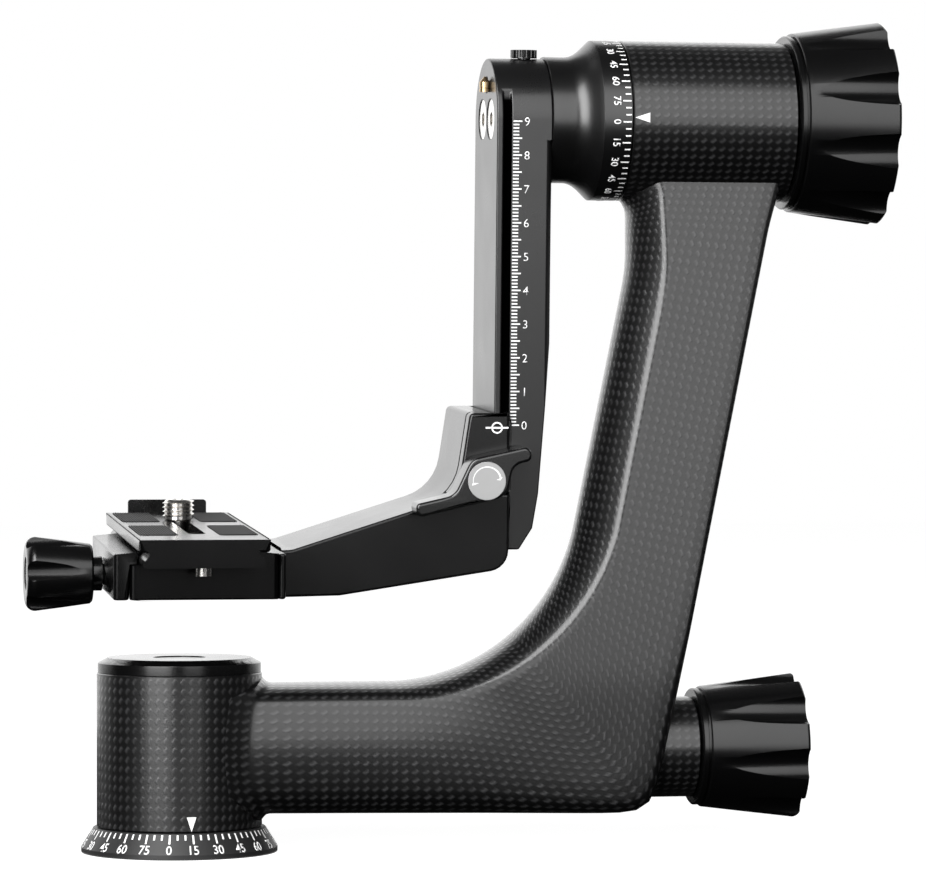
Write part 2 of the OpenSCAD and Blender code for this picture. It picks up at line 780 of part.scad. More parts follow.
module tilt_knob_insert() {
    color(brass_colour)
        difference() {
            rod_x(tilt_insert_r, tilt_knob_x + gap, tilt_insert_l, tilt_z);
            rod_x(axle_thread_r + fit, tilt_knob_x, tilt_insert_l + 2 * gap, tilt_z);
        }
}

// Swing arm group
module hub_screw_places() {
    for (y = [-hub_screw_y, hub_screw_y])
        translate([rail_x + recess, y, tilt_z])
            rotate([0, 90, 0])
                children();
}

module hub_screw_shape(slack) {
    cylinder(r = hub_screw_head_r + slack, h = hub_screw_head_t, $fn = small_fn);
    cylinder(r = hub_screw_r + slack, h = hub_screw_l, $fn = small_fn);
}

module swing_arm() {
    section = [[rail_x, -rail_half], [rail_end_x - rail_chamfer, -rail_half],
               [rail_end_x, -rail_half + rail_chamfer], [rail_end_x, rail_half - rail_chamfer],
               [rail_end_x - rail_chamfer, rail_half], [rail_x, rail_half]];
    chamfer_top = tilt_z - 1.1 * hub_screw_head_r;
    taper = [for (s = taper_shares) [rail_x + s.x * rail_w, rail_bottom_z + s.y * rail_reach]];
    color(black_colour)
        tipped()
            difference() {
                intersection() {
                    union() {
                        translate([0, 0, rail_bottom_z])
                            linear_extrude(chamfer_top - rail_bottom_z) polygon(section);
                        translate([rail_x, -rail_half, chamfer_top])
                            cube([rail_w, 2 * rail_half, 2 * tube_r]);
                    }
                    union() {
                        rod_x(rail_half, rail_x, rail_w, tilt_z);
                        translate([rail_x, -rail_half, rail_bottom_z])
                            cube([rail_w, 2 * rail_half, rail_reach]);
                    }
                    slab_y(concat([[rail_x, rail_bottom_z], [rail_x, tilt_z + tube_r],
                                   [rail_end_x, tilt_z + tube_r]], taper), -rail_half, 2 * rail_half);
                }
                for (side = [-1, 1]) {
                    y = side > 0 ? rail_half - groove_d : -rail_half - eps;
                    translate([groove_x, y, rail_bottom_z - eps])
                        cube([groove_w, groove_d + eps, groove_top_z - rail_bottom_z + eps]);
                    rod_y(groove_w / 2, y, groove_d + eps, groove_x + groove_w / 2, groove_top_z);
                }
                hub_screw_places()
                    translate([0, 0, -eps]) hub_screw_shape(fit);
                hub_screw_places() hub_screw_shape(fit);
                rod_x(stop_pin_r + seat, rail_x - eps, stop_pin_l + eps - stop_pin_out + seat, stop_pin_z,
                      0, small_fn);
                translate([stop_screw_x, 0, tilt_z + rail_half - stop_screw_stem_l - gap])
                    cylinder(r = stop_screw_stem_r + fit, h = tube_r, $fn = small_fn);
            }
}

module tilt_hub() {
    flare_x = rail_end_x + 0.45 * (hub_end_x - dial_w - rail_end_x);
    dial_x = hub_end_x - dial_w;
    flare = [for (i = [0:8])
        let(s = i / 8)
        [mix(flare_x, dial_x, s), mix(hub_r, tube_r, (1 - cos(180 * s)) / 2)]];
    color(black_colour)
        tipped()
            difference() {
                turned_x(concat([[rail_end_x, 0], [rail_end_x, hub_r]], flare,
                                [[hub_end_x, tube_r], [hub_end_x, 0]]), tilt_z);
                rod_x(axle_r + seat, axle_x, hub_end_x - axle_x + eps, tilt_z);
                hub_screw_places() hub_screw_shape(fit);
            }
}

module tilt_axle() {
    thread_end = tilt_knob_x + tilt_insert_l;
    color(steel_colour)
        tipped()
            turned_x([[axle_x, 0], [axle_x, axle_r], [axle_nut_x, axle_r], [axle_nut_x, axle_thread_r],
                      [thread_end, axle_thread_r], [thread_end, 0]], tilt_z);
}

module axle_nut() {
    color(steel_colour)
        tipped()
            difference() {
                rod_x(axle_nut_r, axle_nut_x, axle_nut_t, tilt_z);
                rod_x(axle_thread_r + seat, axle_nut_x - eps, axle_nut_t + 2 * eps, tilt_z);
            }
}

module hub_screws() {
    color(steel_colour)
        tipped()
            hub_screw_places()
                difference() {
                    hub_screw_shape(0);
                    translate([0, 0, -eps])
                        cylinder(r = hub_screw_r * 0.8, h = hub_screw_head_t * 0.6 + eps, $fn = 6);
                }
}

module height_stop_pin() {
    color(brass_colour)
        tipped()
            turned_x([[rail_x - stop_pin_out, 0], [rail_x, stop_pin_r],
                      [rail_x + stop_pin_l - stop_pin_out - fit, stop_pin_r],
                      [rail_x + stop_pin_l - stop_pin_out - fit, 0]], stop_pin_z);
}

module stop_lock_screw() {
    top = tilt_z + rail_half;
    knurls = 16;
    color(black_colour)
        tipped()
            translate([stop_screw_x, 0, top])
                difference() {
                    union() {
                        translate([0, 0, gap / 2])
                            cylinder(r = stop_screw_r, h = stop_screw_h, $fn = small_fn);
                        translate([0, 0, -stop_screw_stem_l])
                            cylinder(r = stop_screw_stem_r, h = stop_screw_stem_l + eps, $fn = small_fn);
                    }
                    for (i = [0:knurls - 1])
                        rotate(i * 360 / knurls)
                            translate([stop_screw_r, 0, gap / 2 + recess])
                                cylinder(r = stop_screw_r * 0.11, h = stop_screw_h, $fn = 16);
                }
}

// Carriage
// Outline of the carriage in X and Z: the rail block, its inner curve and the web to the clamp
function carriage_outline() =
    let(h = carriage_top_z - clamp_z, l = carriage_end_x - bracket_x)
    rounded([for (s = carriage_shares)
        [bracket_x + s.x * l, clamp_z + s.y * h, s.z * h]]);

// Rail channel with its hooks, cut from the carriage
module rail_channel() {
    low = rail_bottom_z - rail_reach;
    high = 2 * rail_reach;
    difference() {
        translate([rail_x - gap, -rail_half - gap, low])
            cube([carriage_end_x - rail_x + 2 * eps, 2 * (rail_half + gap), high]);
        for (side = [-1, 1])
            translate([groove_x + gap / 2, side > 0 ? rail_half - hook_d : -rail_half - eps, low - eps])
                cube([hook_w, hook_d + eps, high + 2 * eps]);
    }
}

module jaw_space(slack) {
    x = carriage_x - carriage_back_t;
    translate([x, -carriage_half - eps, jaw_split_z - slack])
        cube([2 * (carriage_end_x - x), jaw_plate_t + eps + slack, rail_reach]);
}

module carriage_bracket() {
    color(black_colour)
        tipped()
            difference() {
                union() {
                    slab_y(carriage_outline(), -carriage_half, 2 * carriage_half);
                    translate([clamp_end_x, -clamp_half, clamp_z])
                        cube([bracket_flange_t, 2 * clamp_half, clamp_jaw_h]);
                }
                rail_channel();
                jaw_space(fit);
                rod_y(bolt_r + fit, lever_y, bolt_l + fit, lever_x, lever_z);
                clamp_screw_places() rod_x(side_screw_r + fit, 0, side_screw_l + fit, 0, 0, small_fn);
            }
}

module rail_jaw() {
    color(black_colour)
        tipped()
            difference() {
                intersection() {
                    slab_y(carriage_outline(), -carriage_half, 2 * carriage_half);
                    jaw_space(0);
                }
                rail_channel();
                rod_y(bolt_r + fit, lever_y, bolt_l + fit, lever_x, lever_z);
            }
}

module lever_bolt() {
    color(steel_colour)
        tipped()
            rod_y(bolt_r, lever_y + gap, bolt_l - gap, lever_x, lever_z);
}

// Lever outline about its pivot, from corners given as shares of its length
function lever_outline() =
    rounded([for (s = lever_shares)
        [lever_x + s.x * lever_l, lever_z + s.y * lever_l, s.z * lever_l]]);

module lock_lever() {
    color(black_colour)
        tipped()
            difference() {
                slab_y(lever_outline(), lever_y - lever_t, lever_t);
                rod_y(lever_cap_r + seat, lever_y - lever_t - eps, eps + lever_t / 3, lever_x, lever_z);
            }
}

module lever_cap() {
    color(steel_colour)
        tipped()
            rod_y(lever_cap_r, lever_y - lever_t - recess, lever_t / 3 + recess, lever_x, lever_z);
}

// Plate clamp
module clamp_screw_places() {
    for (y = [-guide_y / 2, guide_y / 2])
        translate([clamp_end_x - side_screw_l * 0.6, y, clamp_axis_z])
            children();
}

// Cross-section of a jaw's inner side, mirrored by side, from the seat to the lip
function lip_points(side) =
    [for (p = [[flange_half + gap, seat_z - clamp_z], [flange_half + gap, clamp_seat_h + gap + flange_side_h],
               [waist_half + gap, plate_t - slab_t + clamp_seat_h - 2 * fit],
               [waist_half + gap + waist_in * 0.6, clamp_jaw_h + 2 * gap]])
        [plate_x + side * p.x, clamp_z + p.y]];

module clamp_base() {
    color(black_colour)
        tipped()
            difference() {
                slab_y(concat([[clamp_start_x, seat_z], [clamp_start_x, clamp_z], [clamp_end_x, clamp_z],
                               [clamp_end_x, clamp_z + clamp_jaw_h]],
                              [for (i = [3:-1:0]) lip_points(1)[i]]), -clamp_half, 2 * clamp_half);
                rod_x(clamp_screw_r + fit, clamp_start_x - eps, clamp_bore_l + eps, clamp_axis_z, 0,
                      small_fn);
                for (y = [-guide_y, guide_y])
                    rod_x(guide_r + fit, clamp_start_x - eps, guide_l + eps, clamp_axis_z, y, small_fn);
                clamp_screw_places() rod_x(side_screw_r + fit, 0, side_screw_l + fit, 0, 0, small_fn);
            }
}

module clamp_screws() {
    color(steel_colour)
        tipped()
            clamp_screw_places() rod_x(side_screw_r, 0, side_screw_l, 0, 0, small_fn);
}

module clamp_jaw() {
    lip = lip_points(-1);
    color(black_colour)
        tipped()
            difference() {
                slab_y([[jaw_x, clamp_z], [jaw_end_x, clamp_z], [jaw_end_x, seat_z], lip[0] - [gap, 0],
                        lip[1] - [gap, 0], lip[2], lip[3], [jaw_x, clamp_z + clamp_jaw_h]],
                       -clamp_half, 2 * clamp_half);
                rod_x(clamp_screw_r + 2 * fit, jaw_x - eps, 2 * jaw_w, clamp_axis_z, 0, small_fn);
                for (y = [-guide_y, guide_y])
                    rod_x(guide_r + seat, jaw_x + jaw_w / 2, 2 * jaw_w, clamp_axis_z, y, small_fn);
            }
}

module clamp_guide_pins() {
    color(steel_colour)
        tipped()
            for (y = [-guide_y, guide_y])
                rod_x(guide_r, jaw_x + jaw_w / 2 + fit, guide_l - jaw_w, clamp_axis_z, y, small_fn);
}

module clamp_shaft() {
    neck = jaw_x - knob_end_x;
    grip = clamp_knob_l * 0.6;
    color(black_colour)
        tipped()
            turned_x([[knob_end_x - grip, 0], [knob_end_x - grip, clamp_screw_r],
                      [knob_end_x, clamp_screw_r], [knob_end_x, clamp_shaft_r],
                      [jaw_x - gap, clamp_shaft_r], [jaw_x - gap, clamp_screw_r],
                      [clamp_start_x + clamp_bore_l * 0.7, clamp_screw_r],
                      [clamp_start_x + clamp_bore_l * 0.7, 0]], clamp_axis_z);
}

module clamp_knob() {
    end = knob_end_x - clamp_knob_l;
    crest = mix(knob_end_x, end, 0.86);
    cut = mix(knob_end_x, end, 0.2);
    rise = (clamp_knob_r - clamp_knob_neck_r) / (knob_end_x - crest);
    slope = atan((clamp_flute_depth - rise * (cut - crest)) / (cut - end));
    color(black_colour)
        tipped()
            difference() {
                turned_x([[knob_end_x, 0], [knob_end_x, clamp_knob_neck_r - 2 * recess],
                          [knob_end_x - 2 * recess, clamp_knob_neck_r], [crest, clamp_knob_r],
                          [mix(crest, end, 0.5), clamp_knob_r], [end, clamp_knob_r * 0.78], [end, 0]],
                         clamp_axis_z);
                for (i = [0:clamp_knob_flutes - 1])
                    translate([cut, 0, clamp_axis_z])
                        rotate([clamp_flute_angle + i * 360 / clamp_knob_flutes, 0, 0])
                            translate([0, 0, clamp_knob_neck_r + rise * (knob_end_x - cut)
                                             + clamp_flute_r])
                                rotate([0, -90 - slope, 0])
                                    cylinder(r = clamp_flute_r, h = 2 * (cut - end), $fn = small_fn);
                rod_x(clamp_screw_r + seat, mix(knob_end_x, end, 0.6) - fit, clamp_knob_l,
                      clamp_axis_z, 0, small_fn);
            }
}

// Camera plate
function plate_section() =
    let(h = plate_w / 2, z0 = plate_z, z1 = plate_z + flange_side_h, z2 = plate_top_z - slab_t)
    let(right = [[flange_half, z0], [flange_half, z1], [waist_half, z2 - 2 * fit], [waist_half, z2],
                 [h, z2], [h, plate_top_z - recess], [h - recess, plate_top_z]])
    concat([for (p = right) [plate_x + p.x, p.y]],
           [for (i = [len(right) - 1:-1:0]) [plate_x - right[i].x, right[i].y]]);

module slot_shape(width, length, z, h) {
    for (end = [-1, 1])
        translate([plate_x, slot_y + end * (length - width) / 2, z])
            cylinder(r = width / 2, h = h, $fn = small_fn);
    translate([plate_x - width / 2, slot_y - (length - width) / 2, z])
        cube([width, length - width, h]);
}

module pad_places() {
    for (side = [-1, 1], y = [pad_front_y, pad_back_y])
        translate([plate_x + side * pad_x, y, plate_top_z - pad_sink])
            children();
}

module camera_plate() {
    color(black_colour)
        tipped()
            difference() {
                union() {
                    slab_y(plate_section(), -plate_l / 2, plate_l);
                    translate([plate_x - lip_w / 2, plate_l / 2 - lip_in, plate_top_z - slab_t])
                        cube([lip_w, lip_in + lip_t, slab_t - recess]);
                    translate([plate_x - lip_w / 2, plate_l / 2 + gap / 2, plate_top_z - slab_t])
                        cube([lip_w, lip_t - gap / 2, slab_t + lip_h]);
                }
                slot_shape(slot_w, slot_l, plate_z, plate_t + eps);
                slot_shape(channel_w, slot_l + channel_w - slot_w, plate_z - eps, channel_h + eps);
                pad_places()
                    translate([-pad_w / 2 - fit, -pad_l / 2 - fit, 0])
                        cube([pad_w + 2 * fit, pad_l + 2 * fit, pad_sink + eps]);
                for (side = [-1, 1])
                    translate([plate_x, side * plate_stop_y, plate_z - eps])
                        cylinder(r = plate_stop_r / 2 + fit, h = plate_t / 2 + eps, $fn = small_fn);
            }
}

module plate_pads() {
    pitch = pad_w / pad_ribs;
    color(pad_colour)
        tipped()
            pad_places() {
                translate([-pad_w / 2, -pad_l / 2, fit])
                    cube([pad_w, pad_l, pad_t - rib_h - fit]);
                for (i = [0:pad_ribs - 1])
                    translate([-pad_w / 2 + (i + 0.2) * pitch, -pad_l / 2, pad_t - rib_h])
                        cube([pitch * 0.6, pad_l, rib_h]);
            }
}

module plate_stop_screws() {
    color(steel_colour)
        tipped()
            for (side = [-1, 1])
                translate([plate_x, side * plate_stop_y, plate_z]) {
                    translate([0, 0, -plate_stop_h])
                        cylinder(r = plate_stop_r, h = plate_stop_h, $fn = small_fn);
                    cylinder(r = plate_stop_r / 2, h = plate_t / 2 - fit, $fn = small_fn);
                }
}

module screw_washer() {
    top = plate_z + channel_h - fit;
    color(steel_colour)
        tipped()
            translate([plate_x, screw_y, top - washer_t])
                difference() {
                    cylinder(r = washer_r, h = washer_t, $fn = small_fn);
                    translate([0, 0, -eps])
                        cylinder(r = shank_r + fit, h = washer_t + 2 * eps, $fn = small_fn);
                }
}

module camera_screw() {
    head_top = plate_z + channel_h - washer_t - 2 * fit;
    start = plate_top_z + 2 * fit;
    end = plate_top_z + screw_h;
    color(steel_colour)
        tipped()
            translate([plate_x, screw_y, 0])
                rotate_extrude($fn = small_fn)
                    polygon([[0, head_top - head_t], [head_r, head_top - head_t], [head_r, head_top],
                             [shank_r, head_top], [shank_r, start], [screw_r, start],
                             [screw_r, end - screw_tip], [screw_r - screw_tip, end], [0, end]]);
}

foot_plate();
dial_ring();
foot_screws();
pan_spindle();
spindle_nut();
carbon_frame();
pan_liner();
pan_bearing_lower();
pan_bearing_upper();
pan_cap();
pan_lock_bush();
tilt_liner();
tilt_bearing_left();
tilt_bearing_right();
tube_end_ring();
pan_brake_shoe();
pan_lock_rod();
pan_knob();
pan_knob_insert();
tilt_clutch_ring();
tilt_knob();
tilt_knob_insert();
swing_arm();
tilt_hub();
tilt_axle();
axle_nut();
hub_screws();
height_stop_pin();
stop_lock_screw();
carriage_bracket();
rail_jaw();
lever_bolt();
clamp_base();
clamp_screws();
lock_lever();
lever_cap();
clamp_jaw();
clamp_guide_pins();
clamp_knob();
clamp_shaft();
camera_plate();
plate_pads();
plate_stop_screws();
screw_washer();
camera_screw();
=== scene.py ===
# %% [markdown]
# # A gimbal tripod head, dressed in Blender
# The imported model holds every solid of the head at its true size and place. This notebook gives it
# the look of the real thing: a lacquered carbon moulding, black metal, printed scales, ribbed
# rubber pads and a threaded camera screw. Everything is in metres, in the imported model's frame: Z
# is up along the pan axis, and the camera looks from -Y.

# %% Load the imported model
import json
import math
import bpy
import bmesh
from contextlib import contextmanager
from mathutils import Euler, Matrix, Vector

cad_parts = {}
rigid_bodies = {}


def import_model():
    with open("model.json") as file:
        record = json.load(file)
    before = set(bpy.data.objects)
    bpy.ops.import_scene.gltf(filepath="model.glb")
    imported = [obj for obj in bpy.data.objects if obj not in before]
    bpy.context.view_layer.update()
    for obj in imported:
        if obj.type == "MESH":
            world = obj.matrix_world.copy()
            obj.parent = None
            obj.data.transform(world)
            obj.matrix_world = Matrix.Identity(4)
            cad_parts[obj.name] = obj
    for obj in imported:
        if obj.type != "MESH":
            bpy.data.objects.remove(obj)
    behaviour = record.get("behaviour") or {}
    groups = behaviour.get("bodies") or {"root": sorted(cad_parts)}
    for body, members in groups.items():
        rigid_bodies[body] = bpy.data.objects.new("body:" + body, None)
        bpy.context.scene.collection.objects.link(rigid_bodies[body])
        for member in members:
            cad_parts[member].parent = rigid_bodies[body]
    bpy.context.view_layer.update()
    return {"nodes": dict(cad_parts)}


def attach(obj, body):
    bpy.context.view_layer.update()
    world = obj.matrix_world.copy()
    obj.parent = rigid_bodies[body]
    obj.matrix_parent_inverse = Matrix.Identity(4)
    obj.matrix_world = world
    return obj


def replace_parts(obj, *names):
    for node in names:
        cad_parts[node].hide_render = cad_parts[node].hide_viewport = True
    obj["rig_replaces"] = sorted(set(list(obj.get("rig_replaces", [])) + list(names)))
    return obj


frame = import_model()
nodes = frame["nodes"]
MM = 0.001

# %% [markdown]
# ## Camera
# The photograph was taken from far away with a long lens, a little to the left and almost level.
# Such a lens keeps the knobs' circles nearly round and the upright's edges nearly parallel. Its
# length follows from the focal length in pixels, for a sensor 36 mm wide.

# %% Camera
PICTURE_W = 926
SENSOR_MM = 36
FOCAL_PX = 4400
CAMERA_YAW = math.radians(10.2)
CAMERA_DOWN = math.radians(0.3)
camera_data = bpy.data.cameras.new("camera")
camera_data.sensor_width = SENSOR_MM
camera_data.lens = SENSOR_MM * FOCAL_PX / PICTURE_W
camera_data.clip_end = 20
camera = bpy.data.objects.new("camera", camera_data)
camera.location = Vector((-147.88, -1295.64, 127.69)) * MM
camera.rotation_euler = Euler((math.radians(90) - CAMERA_DOWN, 0, -CAMERA_YAW))
bpy.context.scene.collection.objects.link(camera)
bpy.context.scene.camera = camera
print("lens", round(camera_data.lens, 1), "mm")

# %% [markdown]
# ## Small tools for modelling by operator
# Operators act on whatever is selected, so each step first selects exactly what it means to change.
# These helpers open edit mode, pick edges by place, weld points, apply modifiers and dress a
# finished piece.

# %% Selecting, editing and applying
def only(*objects):
    bpy.ops.object.select_all(action="DESELECT")
    for o in objects:
        o.select_set(True)
    bpy.context.view_layer.objects.active = objects[0]


@contextmanager
def editing(obj, first="DESELECT"):
    only(obj)
    bpy.ops.object.mode_set(mode="EDIT")
    bpy.ops.mesh.select_mode(type="VERT")
    bpy.ops.mesh.select_all(action=first)
    yield
    bpy.ops.object.mode_set(mode="OBJECT")


def pick_edges(obj, test):
    """Selects the edges whose two end points pass the test, in edit mode."""
    bpy.ops.mesh.select_mode(type="EDGE")
    bpy.ops.mesh.select_all(action="DESELECT")
    mesh = bmesh.from_edit_mesh(obj.data)
    picked = [e for e in mesh.edges if test(e.verts[0].co / MM, e.verts[1].co / MM)]
    for edge in picked:
        edge.select_set(True)
    bmesh.update_edit_mesh(obj.data)
    return len(picked)


def bevel_picked(obj, what, test, width, segments):
    """Rounds the edges that pass the test, in edit mode, and says how many they are."""
    print(obj.name, pick_edges(obj, test), what)
    bpy.ops.mesh.bevel(offset=width * MM, offset_type="OFFSET", segments=segments, affect="EDGES",
                       clamp_overlap=False)


def weld(distance=1e-6, outwards=True):
    """Merges the points that lie together, in edit mode, and turns the faces outwards."""
    bpy.ops.mesh.select_all(action="SELECT")
    bpy.ops.mesh.remove_doubles(threshold=distance)
    if outwards:
        bpy.ops.mesh.normals_make_consistent(inside=False)


def duplicate(obj):
    """A copy of an object with a mesh of its own."""
    twin = obj.copy()
    twin.data = obj.data.copy()
    bpy.context.scene.collection.objects.link(twin)
    return twin


def apply(obj, kind, **settings):
    only(obj)
    modifier = obj.modifiers.new(kind.lower(), kind)
    for key, value in settings.items():
        setattr(modifier, key, value)
    bpy.ops.object.modifier_apply(modifier=modifier.name)


def settle(obj):
    only(obj)
    bpy.ops.object.transform_apply(location=True, rotation=True, scale=True)


def smooth(obj, angle=35):
    only(obj)
    bpy.ops.object.shade_smooth_by_angle(angle=math.radians(angle))


def join(name, parts):
    only(*parts)
    if len(parts) > 1:
        bpy.ops.object.join()
    result = bpy.context.view_layer.objects.active
    result.name = name
    result.data.name = name
    return result


def cut_away(obj, cutter):
    apply(obj, "BOOLEAN", operation="DIFFERENCE", object=cutter, solver="EXACT")
    bpy.data.objects.remove(cutter)


def soften_edges(obj, width, segments=2, angle=30, clamp=True):
    apply(obj, "BEVEL", width=width * MM, segments=segments, limit_method="ANGLE",
          angle_limit=math.radians(angle), use_clamp_overlap=clamp, loop_slide=True)
    smooth(obj)
    apply(obj, "WEIGHTED_NORMAL", keep_sharp=True)


def dress(obj, material, body, slot, *replaced):
    obj.data.materials.clear()
    obj.data.materials.append(material)
    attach(obj, body)
    if replaced:
        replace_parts(obj, *replaced)
    print(obj.name, len(obj.data.polygons), "faces")
    return obj

# %% [markdown]
# ## Turned shapes
# Most of this head is made on a lathe or a mill. A turned piece starts as one vertex, which is
# extruded along the profile and then spun about its axis.

# %% Turning
AXES = {"X": Vector((1, 0, 0)), "Z": Vector((0, 0, 1))}


def turned(name, profile, axis, origin, steps):
    """Spins a profile of (distance along the axis, radius) in mm, about an axis through origin."""
    along = AXES[axis]
    out = Vector((0, -1, 0))
    points = [(Vector(origin) + along * d + out * r) * MM for d, r in profile]
    bpy.ops.mesh.primitive_plane_add(size=MM, location=points[0])
    obj = bpy.context.active_object
    settle(obj)
    with editing(obj, "SELECT"):
        bpy.ops.mesh.merge(type="CENTER")
        for before, after in zip(points, points[1:]):
            bpy.ops.mesh.extrude_vertices_move(TRANSFORM_OT_translate={"value": after - before})
        bpy.ops.mesh.select_all(action="SELECT")
        bpy.ops.mesh.spin(steps=steps, angle=math.tau, center=Vector(origin) * MM, axis=along)
        weld()
    obj.name = name
    return obj

# %% [markdown]
# ## Milled shapes
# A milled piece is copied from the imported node. Its loose triangles are merged and dissolved to
# clean flat faces, and its edges get a small bevel, because the light on those edges makes metal
# look machined.

# %% Copying a milled node
CAD_WELD = 2e-6


def milled(node, edge, segments=2, plan=None, clamp=True):
    """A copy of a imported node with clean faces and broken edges. plan may shape it first."""
    obj = duplicate(nodes[node])
    obj.name = node + "_milled"
    obj.parent = None
    for key in list(obj.keys()):
        if key.startswith("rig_"):
            del obj[key]
    with editing(obj):
        weld(CAD_WELD, outwards=False)
        bpy.ops.mesh.dissolve_limited(angle_limit=math.radians(0.8))
    if plan:
        plan(obj)
    soften_edges(obj, edge, segments, clamp=clamp)
    return obj


def dress_milled(node, material, body, slot, edge, *shape, **more):
    """Dresses a milled copy, which replaces the node that it came from."""
    return dress(milled(node, edge, *shape, **more), material, body, slot, node)

# %% [markdown]
# ## The swing arm's tip
# In the photograph the swing arm leans back by 3.3 degrees. Its pieces are easiest to draw upright,
# so they are drawn in an upright frame and then tipped about the tilt axis.

# %% Tipping
TILT_Z = 217.5
TILT_REST = math.radians(3.3)
TIP = (Matrix.Translation((0, 0, TILT_Z * MM)) @ Matrix.Rotation(TILT_REST, 4, "X")
       @ Matrix.Translation((0, 0, -TILT_Z * MM)))


def tipped(obj):
    obj.data.transform(TIP)
    obj.data.update()
    return obj

# %% [markdown]
# ## Shader maths in plain expressions
# A pattern is a sum of waves, noises and masks. One small class wraps a socket, so that these sums
# can be written as in Python, and one method adds any other node with its settings and inputs.

# %% Sockets that can be added and multiplied
class Shade:
    """A value on a socket of a paint, used in sums."""

    def __init__(self, paint, socket):
        self.paint = paint
        self.socket = socket

    def calc(self, operation, *values):
        return self.paint.node("ShaderNodeMath", {"operation": operation}, *values)

    def __add__(self, other):
        return self.calc("ADD", self, other)

    def __sub__(self, other):
        return self.calc("SUBTRACT", self, other)

    def __rsub__(self, other):
        return self.calc("SUBTRACT", other, self)

    def __mul__(self, other):
        return self.calc("MULTIPLY", self, other)

    def __truediv__(self, other):
        return self.calc("DIVIDE", self, other)

    __radd__ = __add__
    __rmul__ = __mul__

    def sine(self):
        return self.calc("SINE", self)

    def size(self):
        return self.calc("ABSOLUTE", self)

    def between(self, low, high):
        """0 below low, 1 above high, and a smooth step between them."""
        return self.paint.node("ShaderNodeMapRange", {"interpolation_type": "SMOOTHSTEP"},
                               self, low, high)


class Nodes:
    """A tree of shader nodes."""

    def __init__(self, tree):
        self.tree = tree

    def finish(self, kind, shader):
        """Adds an output node, which ends the tree."""
        self.tree.links.new(shader.socket, self.tree.nodes.new(kind).inputs[0])

    def node(self, kind, settings, *values, output=0, **named):
        """Adds a node, sets it up, then fills its sockets in order or by name. None is left out."""
        node = self.tree.nodes.new(kind)
        for key, value in settings.items():
            setattr(node, key, value)
        places = list(zip(node.inputs, values)) + [(node.inputs[k], v) for k, v in named.items()]
        for place, value in places:
            if isinstance(value, Shade):
                self.tree.links.new(value.socket, place)
            elif value is not None:
                place.default_value = value
        return Shade(self, node.outputs[output])


class Paint(Nodes):
    """A material with one Principled shader. Fixed values are given by socket name."""

    def __init__(self, name, **fixed):
        self.material = bpy.data.materials.new(name)
        self.material.use_nodes = True
        super().__init__(self.material.node_tree)
        self.shader = self.tree.nodes["Principled BSDF"]
        for key, value in fixed.items():
            self.shader.inputs[key.replace("_", " ")].default_value = value

    def split(self, vector):
        node = self.tree.nodes.new("ShaderNodeSeparateXYZ")
        self.tree.links.new(vector.socket, node.inputs[0])
        return [Shade(self, part) for part in node.outputs]

    def place(self):
        return self.node("ShaderNodeTexCoord", {}, output="Object")

    def noise(self, where, scale, detail=2.0):
        return self.node("ShaderNodeTexNoise", {}, Vector=where, Scale=scale, Detail=detail)

    def blend(self, factor, dark, light):
        """A colour between two others. The node's first colour input is its seventh."""
        before = [None] * 5
        return self.node("ShaderNodeMix", {"data_type": "RGBA"}, factor, *before, (*dark, 1),
                         (*light, 1), output=2)

    def feed(self, socket, value):
        self.tree.links.new(value.socket, self.shader.inputs[socket])

    def swallow(self, mask):
        """Paints shade where the mask is 1: a near-black diffuse shader is mixed in, as in a deep narrow
        groove.
        """
        dark = self.node("ShaderNodeBsdfDiffuse", {}, (0.0003, 0.0003, 0.0003, 1))
        own = Shade(self, self.shader.outputs[0])
        mixed = self.node("ShaderNodeMixShader", {}, mask, own, dark)
        self.tree.links.new(mixed.socket, self.tree.nodes["Material Output"].inputs[0])

    def relief(self, height, strength, distance_mm):
        self.feed("Normal", self.node("ShaderNodeBump", {}, Strength=strength,
                                      Distance=distance_mm * MM, Height=height))

# %% [markdown]
# ## Carbon
# The moulding is woven from carbon tows under a clear lacquer. Where one tow passes over the other
# it shows as a small lighter mark, and the marks stand in rows 2.85 by 2.5 mm apart. Two cosine
# waves added together peak at the points of such a grid. A sideways shift with the other wave
# slants each mark, and the same waves, moved a little, paint a shadow on one half of it, so that a
# crescent is left. The weave follows the moulding's own UV map, so its rows turn round the knee.

# %% Carbon paint
WEAVE_MM = (2.85, 2.5)
SLANT = 0.55
# Shift of the painted shadow that darkens one half of each weave mark.
PAINTED_SHADOW_SHIFT = 1.1


def carbon_paint():
    paint = Paint("carbon_lacquer", IOR=1.5, Specular_IOR_Level=0.3, Coat_Weight=0.75,
                  Coat_Roughness=0.22, Coat_IOR=1.5)
    quarter = math.pi / 2
    u, v, _ = paint.split(paint.node("ShaderNodeUVMap", {"uv_map": "weave"}))
    u = u * (math.tau / WEAVE_MM[0])
    v = v * (math.tau / WEAVE_MM[1])

    def grid(shift):
        return ((u - v.sine() * SLANT + quarter + shift).sine() + (v + quarter - shift).sine()) * 0.5

    waves = grid(0.0)
    uneven = paint.noise(paint.place(), 300.0, 1.0).between(0.25, 0.75)
    # Painted shadow: the grid, shifted a little, darkens one half of each mark.
    painted_shadow_half = grid(PAINTED_SHADOW_SHIFT)
    dots_with_painted_shadow = waves.between(-0.1, 0.85) * (1 - 0.6 * painted_shadow_half.between(0.3, 1.0)) * (0.5 + 0.5 * uneven)
    paint.feed("Base Color", paint.blend(dots_with_painted_shadow, (0.0012, 0.0012, 0.0013), (0.03, 0.03, 0.031)))
    paint.feed("Roughness", 0.42 - dots_with_painted_shadow * 0.12)
    paint.relief(dots_with_painted_shadow, 0.8, 0.12)
    return paint.material

# %% [markdown]
# ## Metals, rubber and print
# The knobs, the clamp and the plate are bead-blasted and anodised black: a dark base, a soft sheen
# and a very fine grain. Bare steel and brass keep the fine rings of the lathe. The pads are matte
# rubber and the marks are flat white ink.

